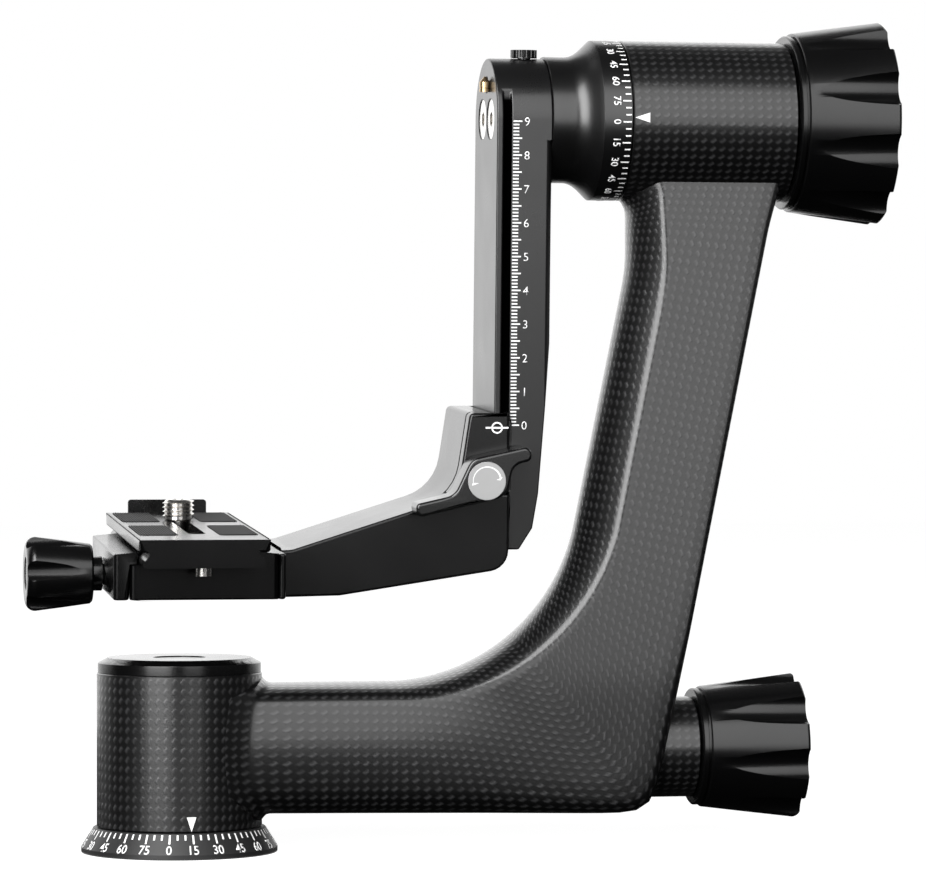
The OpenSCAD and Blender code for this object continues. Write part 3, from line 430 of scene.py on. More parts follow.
# %% Metal, rubber and ink paints
def anodised_paint(name, tone, blue, roughness, grain=0.12, ior=1.5, dark=None):
    """tone is the red and green of the colour. dark may give a mask of painted shade, as in a groove."""
    colour = (tone, tone, blue)
    paint = Paint(name, IOR=ior)
    if dark:
        paint.swallow(dark(paint))
    where = paint.place()
    cloud = paint.noise(where, 45.0, 3.0)
    fine = paint.noise(where, 2600.0, 1.0)
    paint.feed("Base Color", paint.blend(cloud, [0.86 * c for c in colour], [1.14 * c for c in colour]))
    paint.feed("Roughness", roughness + (cloud - 0.5) * 0.1 + (fine - 0.5) * 0.06)
    paint.relief(fine, grain, 0.02)
    return paint.material


def bare_metal_paint(name, colour, roughness):
    paint = Paint(name, Metallic=1.0)
    where = paint.place()
    rings = paint.node("ShaderNodeTexWave", {"wave_type": "RINGS", "rings_direction": "SPHERICAL"},
                       Vector=where, Scale=900.0, Distortion=0.6)
    cloud = paint.noise(where, 120.0, 3.0)
    paint.feed("Base Color", paint.blend(cloud, [0.8 * c for c in colour], colour))
    paint.feed("Roughness", roughness + (cloud - 0.5) * 0.12)
    paint.relief(rings, 0.05, 0.01)
    return paint.material


def rubber_paint():
    paint = Paint("pad_rubber", IOR=1.4)
    where = paint.place()
    fine = paint.noise(where, 1500.0, 2.0)
    crest = paint.node("ShaderNodeAttribute", {"attribute_name": "crest"}, output="Fac")
    # Painted light and shade: the ribs' crests are painted lighter and the hollows between them darker.
    lit_crests_shaded_hollows = crest.between(0.15, 0.85) * (0.75 + 0.25 * fine)
    paint.feed("Base Color", paint.blend(lit_crests_shaded_hollows, (0.004, 0.004, 0.004), (0.05, 0.05, 0.05)))
    paint.feed("Roughness", 0.62 + fine * 0.2)
    # Painted shade: the hollows between the ribs are mixed towards near black.
    paint.swallow(0.7 - 0.7 * crest.between(0.1, 0.6))
    paint.relief(fine, 0.3, 0.03)
    return paint.material


def ink_paint(name, tone):
    paint = Paint(name, IOR=1.45)
    grain = paint.noise(paint.place(), 1800.0, 1.0)
    paint.feed("Base Color", paint.blend(grain, [0.93 * tone] * 3, [tone] * 3))
    paint.feed("Roughness", 0.5 + grain * 0.15)
    return paint.material


GROOVE_STARTS_X, GROOVE_ENDS_X = (94.1, 94.3), (96.7, 96.9)
GROOVE_HALF_DEPTH = (17.6, 17.9)
GROOVE_TOP = (5.5, 7.5)


def in_the_groove(paint):
    """Mask of painted shade: 1 inside the arm's two rail grooves and 0 elsewhere."""
    x, y, z = (part / MM for part in paint.split(paint.place()))
    across = y * math.cos(TILT_REST) + (z - TILT_Z) * math.sin(TILT_REST)
    height = (z - TILT_Z) * math.cos(TILT_REST) - y * math.sin(TILT_REST)
    return (x.between(*GROOVE_STARTS_X) * (1 - x.between(*GROOVE_ENDS_X))
            * (1 - across.size().between(*GROOVE_HALF_DEPTH)) * (1 - height.between(*GROOVE_TOP)))


CARBON = carbon_paint()
KNOB_BLACK = anodised_paint("knob_black", 0.0012, 0.0013, 0.24, grain=0.04)
CLAMP_BLACK = anodised_paint("clamp_black", 0.001, 0.0011, 0.24, grain=0.06, ior=1.34)
HUB_BLACK = anodised_paint("hub_black", 0.002, 0.0021, 0.3, ior=1.62)
PLATE_BLACK = anodised_paint("plate_black", 0.0012, 0.0013, 0.24, grain=0.06, ior=1.36)
# The arm's paint has painted shade in its two rail grooves.
ARM_GREY = anodised_paint("arm_grey", 0.004, 0.0042, 0.3, grain=0.15, ior=1.55, dark=in_the_groove)
BRACKET_BLACK = anodised_paint("bracket_black", 0.002, 0.0021, 0.24, grain=0.1, ior=1.42)
LEVER_BLACK = anodised_paint("lever_black", 0.0035, 0.0036, 0.22, grain=0.05, ior=1.6)
RING_BLACK = anodised_paint("ring_black", 0.002, 0.0021, 0.22)
DIAL_BLACK = anodised_paint("dial_black", 0.012, 0.0123, 0.48)
STEEL = bare_metal_paint("turned_steel", (0.78, 0.76, 0.73), 0.22)
BRASS = bare_metal_paint("turned_brass", (0.6, 0.44, 0.25), 0.3)
CAP_GREY = anodised_paint("cap_grey", 0.32, 0.32, 0.5, grain=0.2)
RUBBER = rubber_paint()
INK = ink_paint("white_ink", 0.86)
print("paints", len(bpy.data.materials))

# %% [markdown]
# ## The carbon moulding
# The frame is one hollow moulding: pan housing, lower arm, knee, leaning upright and tilt tube. Its
# arm is lofted: one cross-section is repeated along a path out of the housing, round the knee and
# up into the tube. The section has a flat front, a ridge, and a flank that is round on the lower
# arm and nearly flat on the upright. A grid is the natural start, because its rows become the
# sections, and its UV map carries the weave in millimetres.

# %% The path and its sections
HOUSING_R = 24.4
HOUSING_BORE_R = 20.43
HOUSING_Z = (7.7, 53.0)
TUBE_R = 24.0
TUBE_BORE_R = 20.03
TUBE_X = (132.4, 182.5)
ARM_LOW, ARM_HIGH = 10.0, 49.7
UNDERSIDE_RISE = 0.012
LEAN = math.radians(11.6)
TURN = math.pi / 2 - LEAN
UPRIGHT_W = 38.4
KNEE_R = 57.8
INNER_FOOT_X = 109.7
HALF_DEPTHS = (18.2, 14.6)
TUBE_FOOT_Z = 205.5
LIFT_Z = 185
FIRST_ROWS_X = [19.0, 20.0, 21.0, 21.8, 22.4, 23.0, 23.6, 24.4, 24.9, 25.5, 26.2, 27.0, 28.0, 30.0,
                34.0, 40.0, 47.0, 54.0, 60.0]
KNEE_CENTRE = Vector((INNER_FOOT_X - KNEE_R * math.tan(TURN / 2), ARM_HIGH + KNEE_R))


def mix(a, b, s):
    return a + (b - a) * s


def clamped(s):
    return min(1.0, max(0.0, s))


def half_depth(z):
    return mix(HALF_DEPTHS[0], HALF_DEPTHS[1], clamped((z - ARM_HIGH) / (TUBE_FOOT_Z - ARM_HIGH)))


def underside(x):
    return ARM_LOW + UNDERSIDE_RISE * (INNER_FOOT_X + UPRIGHT_W - x)


def knee_reach(a):
    """Distance from the knee's centre to the moulding's outer side, with a rounded corner."""
    low = (math.cos(a) - UNDERSIDE_RISE * math.sin(a)) / (KNEE_CENTRE.y - underside(KNEE_CENTRE.x))
    side = math.cos(TURN - a) / (KNEE_R + UPRIGHT_W * math.cos(LEAN))
    big = max(low, side)
    return 1 / (big * ((low / big) ** 28 + (side / big) ** 28) ** (1 / 28))


def section(length, flank, power, edge):
    """Half of a section as (distance from the outer side, half depth), with a rounded ridge."""
    depth = HALF_DEPTHS[0]
    raw = [(0.0, depth * i / 40) for i in range(40) if depth * i / 40 < depth - edge]
    raw += [(edge * (1 - math.cos(a)), depth - edge * (1 - math.sin(a)))
            for a in (math.pi / 24 * i for i in range(13))]
    raw += [(mix(edge, length - flank, i / 60), depth) for i in range(1, 60)]
    ridge = len(raw)
    raw += [(length - flank + flank * math.sin(a) ** (2 / power), depth * math.cos(a))
            for a in (math.pi / 160 * i for i in range(81))]
    run = [0.0]
    for p, q in zip(raw, raw[1:]):
        run.append(run[-1] + math.dist(p, q))

    def at(s):
        s = abs(s)
        if s >= run[-1]:
            p = at(2 * run[-1] - s - 1e-9)
            return (p[0], -p[1])
        i = max(j for j in range(len(run)) if run[j] <= s)
        f = (s - run[i]) / max(1e-9, run[i + 1] - run[i])
        return (mix(raw[i][0], raw[i + 1][0], f), mix(raw[i][1], raw[i + 1][1], f))

    first = depth - edge
    corner = first + edge * math.pi / 2
    top = run[ridge]
    stops = ([first * i / 3 for i in range(3)] + [mix(first, corner, i / 7) for i in range(7)]
             + [mix(corner, top - 2.4, i / 6) for i in range(6)]
             + [mix(top - 2.4, top + 2.4, i / 10) for i in range(10)]
             + [mix(top + 2.4, run[-1], i / 12) for i in range(13)])
    result = []
    for s in stops:
        near = [at(s + d) for d in (-1.2, -0.8, -0.4, 0.0, 0.4, 0.8, 1.2)] if s > corner else [at(s)]
        if s > run[-1] - 1e-6:
            near = [(p[0], 0.0) for p in near]
        result.append((sum(p[0] for p in near) / len(near), sum(p[1] for p in near) / len(near), s))
    return result


def path_sections():
    """(inner point, outer point, flank, power, edge) for each row, from the housing to the tube."""
    rows = []
    for x in FIRST_ROWS_X:
        rows.append((Vector((x, ARM_HIGH)), Vector((x, underside(x))), 5.2, 2.0, 8.0))
    for i in range(37):
        s = i / 36
        a = s * TURN
        way = Vector((math.sin(a), -math.cos(a)))
        rows.append((KNEE_CENTRE + way * KNEE_R, KNEE_CENTRE + way * knee_reach(a),
                     mix(5.2, 10.0, s), mix(2.0, 1.15, s), mix(8.0, 1.7, clamped(1.6 * s - 0.3))))
    low = rows[-1][0].y
    bend = mix(low, TUBE_FOOT_Z, 0.655)
    span = 0.1 * (TUBE_FOOT_Z - low)
    lean = math.tan(LEAN)
    for i in range(1, 41):
        s = i / 40
        z = mix(low, TUBE_FOOT_Z, s)
        over = max(0.0, z - bend)
        part = min(over, span)
        inner = INNER_FOOT_X + (z - ARM_HIGH) * lean - over * lean + lean * (part - part * part / (2 * span))
        u = clamped((s - 0.6) / 0.35)
        z_out = z - UPRIGHT_W * math.cos(LEAN) * math.sin(LEAN) * (1 - u)
        outer = INNER_FOOT_X + UPRIGHT_W + (z_out - ARM_HIGH) * lean
        rows.append((Vector((inner, z)), Vector((outer, z_out)), mix(10.0, 8.0, u), 1.15, 1.7))
    return rows

# %% [markdown]
# The first rows follow the round housing instead of a flat plane, and widen softly until they run
# into it, because the photograph shows no corner there. The last rows are lifted onto the tube, with
# the small fillet that a mould always has in such a corner.

# %% Loft the arm
def fillet(distance, radius):
    t = clamped(1 - distance / radius)
    return radius * (1 - math.sqrt(max(0.0, 1 - t * t)))


def merged(a, b, reach):
    """The larger of two heights, with a soft hollow where they cross."""
    return max(a, b) + max(0.0, reach - abs(a - b)) ** 2 / (4 * reach)


INSIDE_R = 21.2
rows = path_sections()
sections = [section((inner - outer).length, flank, power, edge)
            for inner, outer, flank, power, edge in rows]
half_count = len(sections[0])
around = 2 * half_count - 1
bpy.ops.mesh.primitive_grid_add(x_subdivisions=around - 1, y_subdivisions=len(rows) - 1, size=0.2)
arm = bpy.context.active_object
weave = arm.data.uv_layers.new(name="weave")
along = 0.0
places = []
for j, (inner, outer, *_) in enumerate(rows):
    if j:
        before = (rows[j - 1][0] + rows[j - 1][1]) / 2
        along += ((inner + outer) / 2 - before).length
    way = (inner - outer).normalized()
    half = sections[j]
    for i in range(around):
        side = -1 if i < half_count else 1
        share, depth, run = half[i] if i < half_count else half[around - 1 - i]
        q = outer + way * share
        middle = (inner - outer).length / 2
        bulge = 2.6 * clamped(1.6 - (j - 5) / 18) * ((share - middle) / middle) ** 2
        y = side * depth * (half_depth(q.y) - bulge) / HALF_DEPTHS[0]
        x, z = q
        if x < 54 and z < 55:
            start = math.sqrt(HOUSING_R ** 2 - y ** 2) - HOUSING_R
            x += start * (1 - clamped((x - HOUSING_R) / 26)) ** 2
            swell = fillet(max(0.0, x - math.sqrt(HOUSING_R ** 2 - y ** 2)), 3.2)
            flat = clamped((depth / HALF_DEPTHS[0] - 0.8) / 0.17)
            swollen = abs(y) + swell * abs(y) / HALF_DEPTHS[0]
            beyond = math.sqrt(max(0.0, (HOUSING_R - 0.04) ** 2 - x ** 2))
            wider = abs(y) + 1.5 * clamped(1 - (x - 14) / 26) ** 2 * clamped((x - 11) / 9)
            y = math.copysign(mix(swollen, merged(wider, beyond, 5.0), flat), y)
            z += min(2.0, swell) * math.copysign(1, z - 30) * clamped(abs(z - 30) / 19) ** 4
            if math.hypot(x, y) < INSIDE_R:
                x = math.sqrt(INSIDE_R ** 2 - y ** 2)
        if z > LIFT_Z:
            roof = TILT_Z - math.sqrt(22.0 ** 2 - y ** 2)
            z = mix(LIFT_Z, roof, (z - LIFT_Z) / (TUBE_FOOT_Z - LIFT_Z))
            surface = TILT_Z - math.sqrt(TUBE_R ** 2 - y ** 2)
            swell = fillet(max(0.0, surface - z), 5.0) * 0.5
            x -= min(2.3, swell) * clamped((share / (inner - outer).length - 0.72) / 0.28)
        places.append((Vector((x, y, z)) * MM, (along, run)))
for vertex, (point, _) in zip(arm.data.vertices, places):
    vertex.co = point
for loop in arm.data.loops:
    weave.data[loop.index].uv = places[loop.vertex_index][1]
with editing(arm):
    weld()
apply(arm, "SOLIDIFY", thickness=2.2 * MM, offset=-1.0, use_rim=True)
print("arm rows", len(rows), "around", around)

# %% [markdown]
# The housing, the tube and the boss behind the lower knob are turned pipes. Their weave runs round
# and along them, so their UV map unrolls each pipe.

# %% Housing, tube and boss
def unroll(obj, axis, origin, radius):
    """Gives a turned piece a weave map in mm: distance round it, and distance along it."""
    layer = obj.data.uv_layers.new(name="weave")
    for face in obj.data.polygons:
        centre = face.center / MM - Vector(origin)
        middle = math.atan2(centre.y, centre.z if axis == "X" else centre.x)
        for index in face.loop_indices:
            p = obj.data.vertices[obj.data.loops[index].vertex_index].co / MM - Vector(origin)
            turn = math.atan2(p.y, p.z if axis == "X" else p.x)
            turn = middle + math.remainder(turn - middle, math.tau)
            layer.data[index].uv = (p.x if axis == "X" else p.z, turn * radius)


def pipe(name, axis, origin, outer, inner, low, high, edge):
    profile = [(low, inner), (low, outer - edge), (low + edge, outer),
               *((mix(low, high, share), outer) for share in (0.25, 0.5, 0.75)),
               (high - edge, outer), (high, outer - edge), (high, inner), (low, inner)]
    obj = turned(name, profile, axis, origin, steps=160)
    unroll(obj, axis, origin, outer)
    return obj


BOSS_Z = 29.0
housing = pipe("housing", "Z", (0, 0, 0), HOUSING_R, HOUSING_BORE_R, *HOUSING_Z, 0.25)
tube = pipe("tube", "X", (0, 0, TILT_Z), TUBE_R, TUBE_BORE_R, *TUBE_X, 0.3)
boss = pipe("boss", "X", (0, 0, BOSS_Z), 15.1, 8.03, 141.8, 154.9, 0.4)
moulding = join("carbon_moulding", [arm, housing, tube, boss])
smooth(moulding, 32)
dress(moulding, CARBON, "frame", "carbon_fibre", "carbon_frame")

# %% [markdown]
# ## Flutes
# Flutes are milled with a round cutter held at a slope, so each starts in a point and opens to its
# full width at the end. The cutter is one cylinder, copied round the axis and taken away from the
# turned blank.

# %% Cutting flutes
LEAD_IN = 6


def cutter_rod(foot, way, radius, length):
    """A cylinder that starts at a foot point, in mm, and runs along a direction."""
    turn = Vector((0, 0, 1)).rotation_difference(way.normalized()).to_euler()
    middle = (foot + way.normalized() * length / 2) * MM
    bpy.ops.mesh.primitive_cylinder_add(vertices=72, radius=radius * MM, depth=length * MM,
                                        location=middle, rotation=turn)
    obj = bpy.context.active_object
    settle(obj)
    return obj


def cut_flutes(knob, origin, start, end, blank_r, rise, depth, cutter_r, count, first):
    """Cuts flutes from start to end along X. The blank's radius grows by rise per mm from blank_r."""
    sense = math.copysign(1, end - start)
    run = abs(end - start)
    slope = math.atan((depth - rise) / run)
    cutters = []
    for i in range(count):
        a = math.radians(first) + math.tau * i / count
        out = Vector((0, -math.sin(a), math.cos(a)))
        way = Vector((sense * math.cos(slope), 0, 0)) - out * math.sin(slope)
        foot = Vector(origin) + Vector((start, 0, 0)) + out * (blank_r + cutter_r) - way * LEAD_IN
        cutters.append(cutter_rod(foot, way, cutter_r, 2 * run + LEAD_IN))
    cut_away(knob, join("cutters", cutters))


def quarter_arc():
    return [math.pi / 12 * i for i in range(7)]

# %% [markdown]
# ## Lock knobs
# Each lock knob is turned from bar: a collar, one fine groove between two bright bevels, and a grip
# that flares outwards. A small bevel breaks the flutes' edges.

# %% The two lock knobs
KNOB_EDGE_R = 1.0
KNOB_BEVEL = 0.35
GROOVE_DEPTH = 0.7


def fluted_knob(name, origin, length, shape, radii, pocket, flutes):
    """shape is (collar, grip start, crest) and radii are (collar, grip start, crest), in mm."""
    collar, start, crest = shape
    r_collar, r_start, r_crest = radii
    r_pocket, pocket_end = pocket
    count, cutter_r, depth, first, cut_share = flutes
    bottom = r_collar - GROOVE_DEPTH
    end = length - 0.5
    profile = ([(0, r_pocket), (0, r_collar - 0.4), (KNOB_BEVEL, r_collar), (collar - 0.08, r_collar),
                (collar, r_collar - 0.1), (collar + 0.02, bottom), (start - 0.02, bottom),
                (start, r_start - 0.4), (start + KNOB_BEVEL, r_start),
                (mix(start, crest, 0.5), mix(r_start, r_crest, 0.5)), (crest, r_crest)]
               + [(length - KNOB_EDGE_R * (1 - math.sin(a)), r_crest - KNOB_EDGE_R * (1 - math.cos(a)))
                  for a in quarter_arc()]
               + [(length, 0.62 * r_crest), (end, 0.6 * r_crest), (end, 0),
                  (pocket_end, 0), (pocket_end, r_pocket), (0, r_pocket)])
    knob = turned(name, profile, "X", origin, steps=180)
    rise = (r_crest - r_start) / (crest - start)
    cut = mix(start, crest, cut_share)
    cut_flutes(knob, origin, cut, length, r_start + rise * (cut - start), rise * (crest - cut),
               depth, cutter_r, count, first)
    soften_edges(knob, 0.22, angle=24)
    return knob


UPPER_KNOB = (183.2, 0, TILT_Z)
upper_knob = fluted_knob("upper_knob", UPPER_KNOB, 29.4, (1.6, 2.2, 28.4), (26.2, 27.0, 30.8),
                         (10.03, 13.3), (10, 6.2, 3.5, 37, 0.12))
dress(upper_knob, KNOB_BLACK, "tilt_lock", "knob_black", "tilt_knob")

LOWER_KNOB = (155.2, 0, BOSS_Z)
lower_knob = fluted_knob("lower_knob", LOWER_KNOB, 31.9, (1.7, 2.4, 30.9), (17.6, 18.2, 21.7),
                         (7.03, 15.3), (8, 5.5, 3.3, 11.5, 0.18))
dress(lower_knob, KNOB_BLACK, "pan_lock", "knob_black", "pan_knob")

# %% [markdown]
# ## Foot, cap and rings
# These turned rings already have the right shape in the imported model. Copies get their edges broken.

# %% Rings with broken edges
dress_milled("dial_ring", DIAL_BLACK, "base", "black_anodised", 0.25)
dress_milled("pan_cap", RING_BLACK, "frame", "black_anodised", 0.12)
dress_milled("tube_end_ring", RING_BLACK, "frame", "black_anodised", 0.15)

# %% [markdown]
# ## Tilt hub
# The hub joins the arm to the tilt tube. Its neck swells in a hollow curve, which shows as one pale
# streak in the photograph, and ends in a crisp edge at the ring that carries the tilt dial.

# %% Turn the hub
HUB_X = (109.1, 132.1)
HUB_R = 23.95
HUB_BORE_R = 9.03

flare = [(115.5 + 0.55 * i, 18.85 + 0.026 * i * i) for i in range(11)]
hub_profile = ([(HUB_X[0], HUB_BORE_R), (HUB_X[0], 18.7), (109.3, 18.9), (111.5, 18.9), (113.5, 18.85)]
               + flare + [(122.2, 22.62), (123.4, 23.8), (123.6, HUB_R), (128.0, HUB_R), (131.9, HUB_R),
                          (HUB_X[1], 23.75), (HUB_X[1], HUB_BORE_R), (HUB_X[0], HUB_BORE_R)])
hub = tipped(turned("hub", hub_profile, "X", (0, 0, TILT_Z), steps=160))
smooth(hub, 30)
dress(hub, HUB_BLACK, "swing", "black_anodised", "tilt_hub")

# %% [markdown]
# ## Swing arm, carriage and lever
# The arm is a milled bar with a groove along each side, in which the carriage's hooks slide. The
# carriage is a block round the arm, with a long web down to the clamp. Their copies keep the packed
# shape and get rounder edges, as a casting has.

# %% Arm, carriage and lever
LEVER_AT = (88.1, 111.15)
DISC_POCKET_R = 6.0


def lever_shape(obj):
    """Rounds the lever's front outline, but not the pocket of its disc."""
    obj.data.transform(TIP.inverted())
    front = min(v.co.y for v in obj.data.vertices) / MM

    def rim(a, b):
        flush = max(a.y, b.y) < front + 0.05
        return flush and min(math.hypot(p.x - LEVER_AT[0], p.z - LEVER_AT[1])
                             for p in (a, b)) > DISC_POCKET_R
    with editing(obj):
        bevel_picked(obj, "rim edges", rim, 0.9, 4)
    tipped(obj)


dress_milled("swing_arm", ARM_GREY, "swing", "black_painted", 0.5, 3, clamp=False)
dress_milled("carriage_bracket", BRACKET_BLACK, "carriage", "black_painted", 0.8, 4, clamp=False)
dress_milled("rail_jaw", BRACKET_BLACK, "carriage", "black_painted", 1.0, 5, clamp=False)
dress_milled("lock_lever", LEVER_BLACK, "lever", "black_painted", 0.12, plan=lever_shape)
dress_milled("lever_cap", CAP_GREY, "lever", "grey_cap", 0.12)

# %% [markdown]
# ## Clamp and camera plate
# The clamp and its plate are extruded bars cut to length, with corners rounded by about 2 mm in
# plan. The corner edges are picked by their place and beveled first, then those of the outline, and
# the small edge break comes last.

# %% Rounding the plan corners
def upright(a, b, least):
    return math.hypot(a.x - b.x, a.y - b.y) < 0.02 and abs(a.z - b.z) > least


def round_corners(radius, xs, ys, edge_break, more=None):
    """Returns a shaper that rounds the four corners in plan, then the edges of the outline."""
    centre = Vector((sum(xs) / 2, sum(ys) / 2))
    half = Vector((abs(xs[1] - xs[0]) / 2 - radius, abs(ys[1] - ys[0]) / 2 - radius))

    def off_outline(p):
        """Distance of a point from the rounded rectangle."""
        q = (abs(p.x - centre.x) - half.x, abs(p.y - centre.y) - half.y)
        return math.hypot(max(q[0], 0), max(q[1], 0)) + min(max(q), 0) - radius

    def corner(a, b):
        near = min(abs(a.x - x) for x in xs) < 0.6 and min(abs(a.y - y) for y in ys) < 0.6
        return upright(a, b, 0.5) and near

    def outline(a, b):
        level = abs(a.z - b.z) < 0.02
        return level and abs(off_outline(a)) < 0.08 and abs(off_outline(b)) < 0.08

    def shape(obj):
        obj.data.transform(TIP.inverted())
        with editing(obj):
            bevel_picked(obj, "corner edges", corner, radius, 6)
            bevel_picked(obj, "outline edges", outline, edge_break, 4)
            if more:
                more(obj)
        tipped(obj)
    return shape

# %% [markdown]
# The plate also has a shallow pocket for each pad and a lip at its rear end, whose corners are
# rounded too.

# %% The clamp and the plate
PLATE_TOP = 95.9
PLATE_X = 2.7
PAD_SIZE = (11.4, 35.0)
PAD_CENTRES = [(PLATE_X + sx * 11.7, y) for sx in (-1, 1) for y in (-17.5, 30.5)]
PAD_CORNER = 3.0


def pockets_and_lip(obj):
    """Rounds the corners of the pads' pockets and the two top corners of the rear lip."""
    def pocket(a, b):
        return upright(a, b, 0.1) and any(abs(abs(a.x - x) - PAD_SIZE[0] / 2) < 0.3
                                          and abs(abs(a.y - y) - PAD_SIZE[1] / 2) < 0.3
                                          for x, y in PAD_CENTRES)

    def lip(a, b):
        return math.hypot(a.x - b.x, a.z - b.z) < 0.02 and a.z > PLATE_TOP + 1
    bevel_picked(obj, "pocket corners", pocket, PAD_CORNER, 6)
    bevel_picked(obj, "lip corners", lip, 1.0, 5)


base_shape = round_corners(1.8, (-17.1, 26.3), (-33, 33), 0.6)
jaw_shape = round_corners(1.6, (-22.0, -17.4), (-33, 33), 0.6)
plate_shape = round_corners(2.2, (-16.3, 21.7), (-50, 50), 0.8, pockets_and_lip)
dress_milled("clamp_base", CLAMP_BLACK, "carriage", "black_anodised", 0.25, plan=base_shape)
dress_milled("clamp_jaw", CLAMP_BLACK, "jaw", "black_anodised", 0.25, plan=jaw_shape)
dress_milled("camera_plate", PLATE_BLACK, "plate", "black_anodised", 0.2, plan=plate_shape)

# %% [markdown]
# ## Clamp knob and shaft
# The clamp knob has six flutes and a rounded outer end. Behind it, the shaft's collar is turned with
# a waist and a thin flange.

# %% Clamp knob and shaft
CLAMP_KNOB = (-25.3, 0, 81.8)
CLAMP_KNOB_L = 19.5
CLAMP_KNOB_R = 11.0
CLAMP_EDGE_R = 2.9


def clamp_knob():
    length = CLAMP_KNOB_L
    crest = 0.86 * length
    profile = ([(0, 3.03), (0, 8.3), (-0.6, 8.9), (-0.5 * crest, 9.95), (-crest, CLAMP_KNOB_R)]
               + [(-crest - CLAMP_EDGE_R * math.sin(a), 8.1 + CLAMP_EDGE_R * math.cos(a))
                  for a in quarter_arc()]
               + [(-length, 5.0), (-length + 0.3, 4.8), (-length + 0.3, 0), (-12.4, 0), (-12.4, 3.03),
                  (0, 3.03)])
    knob = turned("clamp_grip", profile, "X", CLAMP_KNOB, steps=144)
    cut = 0.2 * length
    rise = 2.1 / crest
    cut_flutes(knob, CLAMP_KNOB, -cut, -length, 8.9 + rise * cut, rise * (crest - cut), 2.4, 3.3, 6, 20)
    soften_edges(knob, 0.18, angle=24)
    return tipped(knob)


dress(clamp_knob(), KNOB_BLACK, "clamp_screw", "knob_black", "clamp_knob")
dress_milled("clamp_shaft", RING_BLACK, "clamp_screw", "black_anodised", 0.15)

# %% [markdown]
# ## Rubber pads
# Four pads with round corners lie in shallow pockets of the plate, so that a camera does not twist.
# A grid gives their ribs, its border is pulled to a rounded outline, and a wall downwards closes
# it. The attribute "crest" tells the paint where a rib is high, so that painted shade keeps the
# hollows between the ribs dark and the crests are painted lighter.

# %% Pads
RIBS = 15
RIB_H = 0.22


def pad(centre):
    half_x, half_y = PAD_SIZE[0] / 2, PAD_SIZE[1] / 2
    bpy.ops.mesh.primitive_grid_add(x_subdivisions=RIBS * 8, y_subdivisions=24, size=2)
    obj = bpy.context.active_object
    crests = obj.data.attributes.new("crest", "FLOAT", "POINT")
    for v in obj.data.vertices:
        x = v.co.x * half_x
        inset = max(0.0, abs(x) - (half_x - PAD_CORNER))
        y = v.co.y * (half_y - PAD_CORNER + math.sqrt(max(0.0, PAD_CORNER ** 2 - inset ** 2)))
        wave = math.cos(math.tau * (v.co.x + 1) / 2 * RIBS)
        end = clamped((half_y - abs(y)) / 0.5) * clamped((half_x - abs(x)) / 0.4)
        crest = clamped(0.5 - 0.9 * wave) * end
        crests.data[v.index].value = crest
        v.co = Vector((centre[0] + x, centre[1] + y, PLATE_TOP + (0.08 + RIB_H * crest))) * MM
    with editing(obj, "SELECT"):
        bpy.ops.mesh.normals_make_consistent(inside=False)
    apply(obj, "SOLIDIFY", thickness=0.6 * MM, offset=-1.0, use_rim=True)
    smooth(obj, 40)
    return tipped(obj)


pads = [pad(centre) for centre in PAD_CENTRES]
dress(join("ribbed_pads", pads), RUBBER, "plate", "pad_rubber", "plate_pads")

# %% [markdown]
# ## Camera screw
# The screw that stands through the slot has a real thread, because the photograph shows its turns.
# A small triangle is wound up a helix round a plain core, and the top is chamfered.

# %% Threaded camera screw
SCREW_AT = (PLATE_X, 20.0)
THREAD_CORE_R = 4.2
THREAD_R = 4.76
THREAD_PITCH = 1.27
THREAD_TURNS = 4


def thread_ridge(foot_z):
    """A triangular ridge wound about the upright axis of the screw, in mm."""
    bpy.ops.mesh.primitive_circle_add(vertices=3, radius=MM)
    obj = bpy.context.active_object
    root = THREAD_CORE_R - 0.25
    points = [(root, 0.0), (THREAD_R, THREAD_PITCH * 0.36), (root, THREAD_PITCH * 0.72)]
    foot = Vector((*SCREW_AT, foot_z))
    for v, (r, z) in zip(obj.data.vertices, points):
        v.co = (foot + Vector((r, 0, z))) * MM
    with editing(obj, "SELECT"):
        bpy.ops.mesh.edge_face_add()
    obj.data.transform(Matrix.Translation(-foot * MM))
    steps = 40 * THREAD_TURNS
    apply(obj, "SCREW", angle=math.tau * THREAD_TURNS, screw_offset=THREAD_PITCH * THREAD_TURNS * MM,
          steps=steps, render_steps=steps, axis="Z", use_merge_vertices=False)
    obj.data.transform(Matrix.Translation(foot * MM))
    with editing(obj):
        weld()
    return obj


def camera_screw():
    top = PLATE_TOP + 6.4
    core = [(87.2 + 1.4, 0), (88.6, 7.0), (91.0, 7.0), (91.0, 2.3), (PLATE_TOP + 0.1, 2.3),
            (PLATE_TOP + 0.1, 3.9), (PLATE_TOP + 0.4, THREAD_CORE_R), (top - 0.7, THREAD_CORE_R),
            (top, 3.5), (top, 1.9), (top - 1.2, 1.5), (top - 1.2, 0)]
    body = turned("core", core, "Z", (*SCREW_AT, 0), steps=64)
    screw = join("threaded_screw", [body, thread_ridge(PLATE_TOP + 0.35)])
    smooth(screw, 30)
    return tipped(screw)


dress(camera_screw(), STEEL, "camera_screw", "steel", "camera_screw")

# %% [markdown]
# ## Brass stud
# The small brass stud that keeps the carriage on the arm is turned anew, because its pointed top
# shows in the photograph.

# %% Stud
STUD_AT = (91.0, -4.2, 225.6)
stud_profile = [(0, 0), (0, 1.6), (0.9, 1.6), (1.0, 1.45), (1.2, 1.45), (1.3, 1.6), (3.0, 1.6),
                (4.6, 0.2), (4.7, 0)]
stop_stud = tipped(turned("stop_stud", stud_profile, "Z", STUD_AT, steps=64))
smooth(stop_stud, 30)
dress(stop_stud, BRASS, "swing", "brass", "height_stop_pin")

# %% [markdown]
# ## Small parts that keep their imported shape
# The stop screw, the screws and what is seen of the spindle are right as they are and only take their
# finish. Their meshes are not touched.

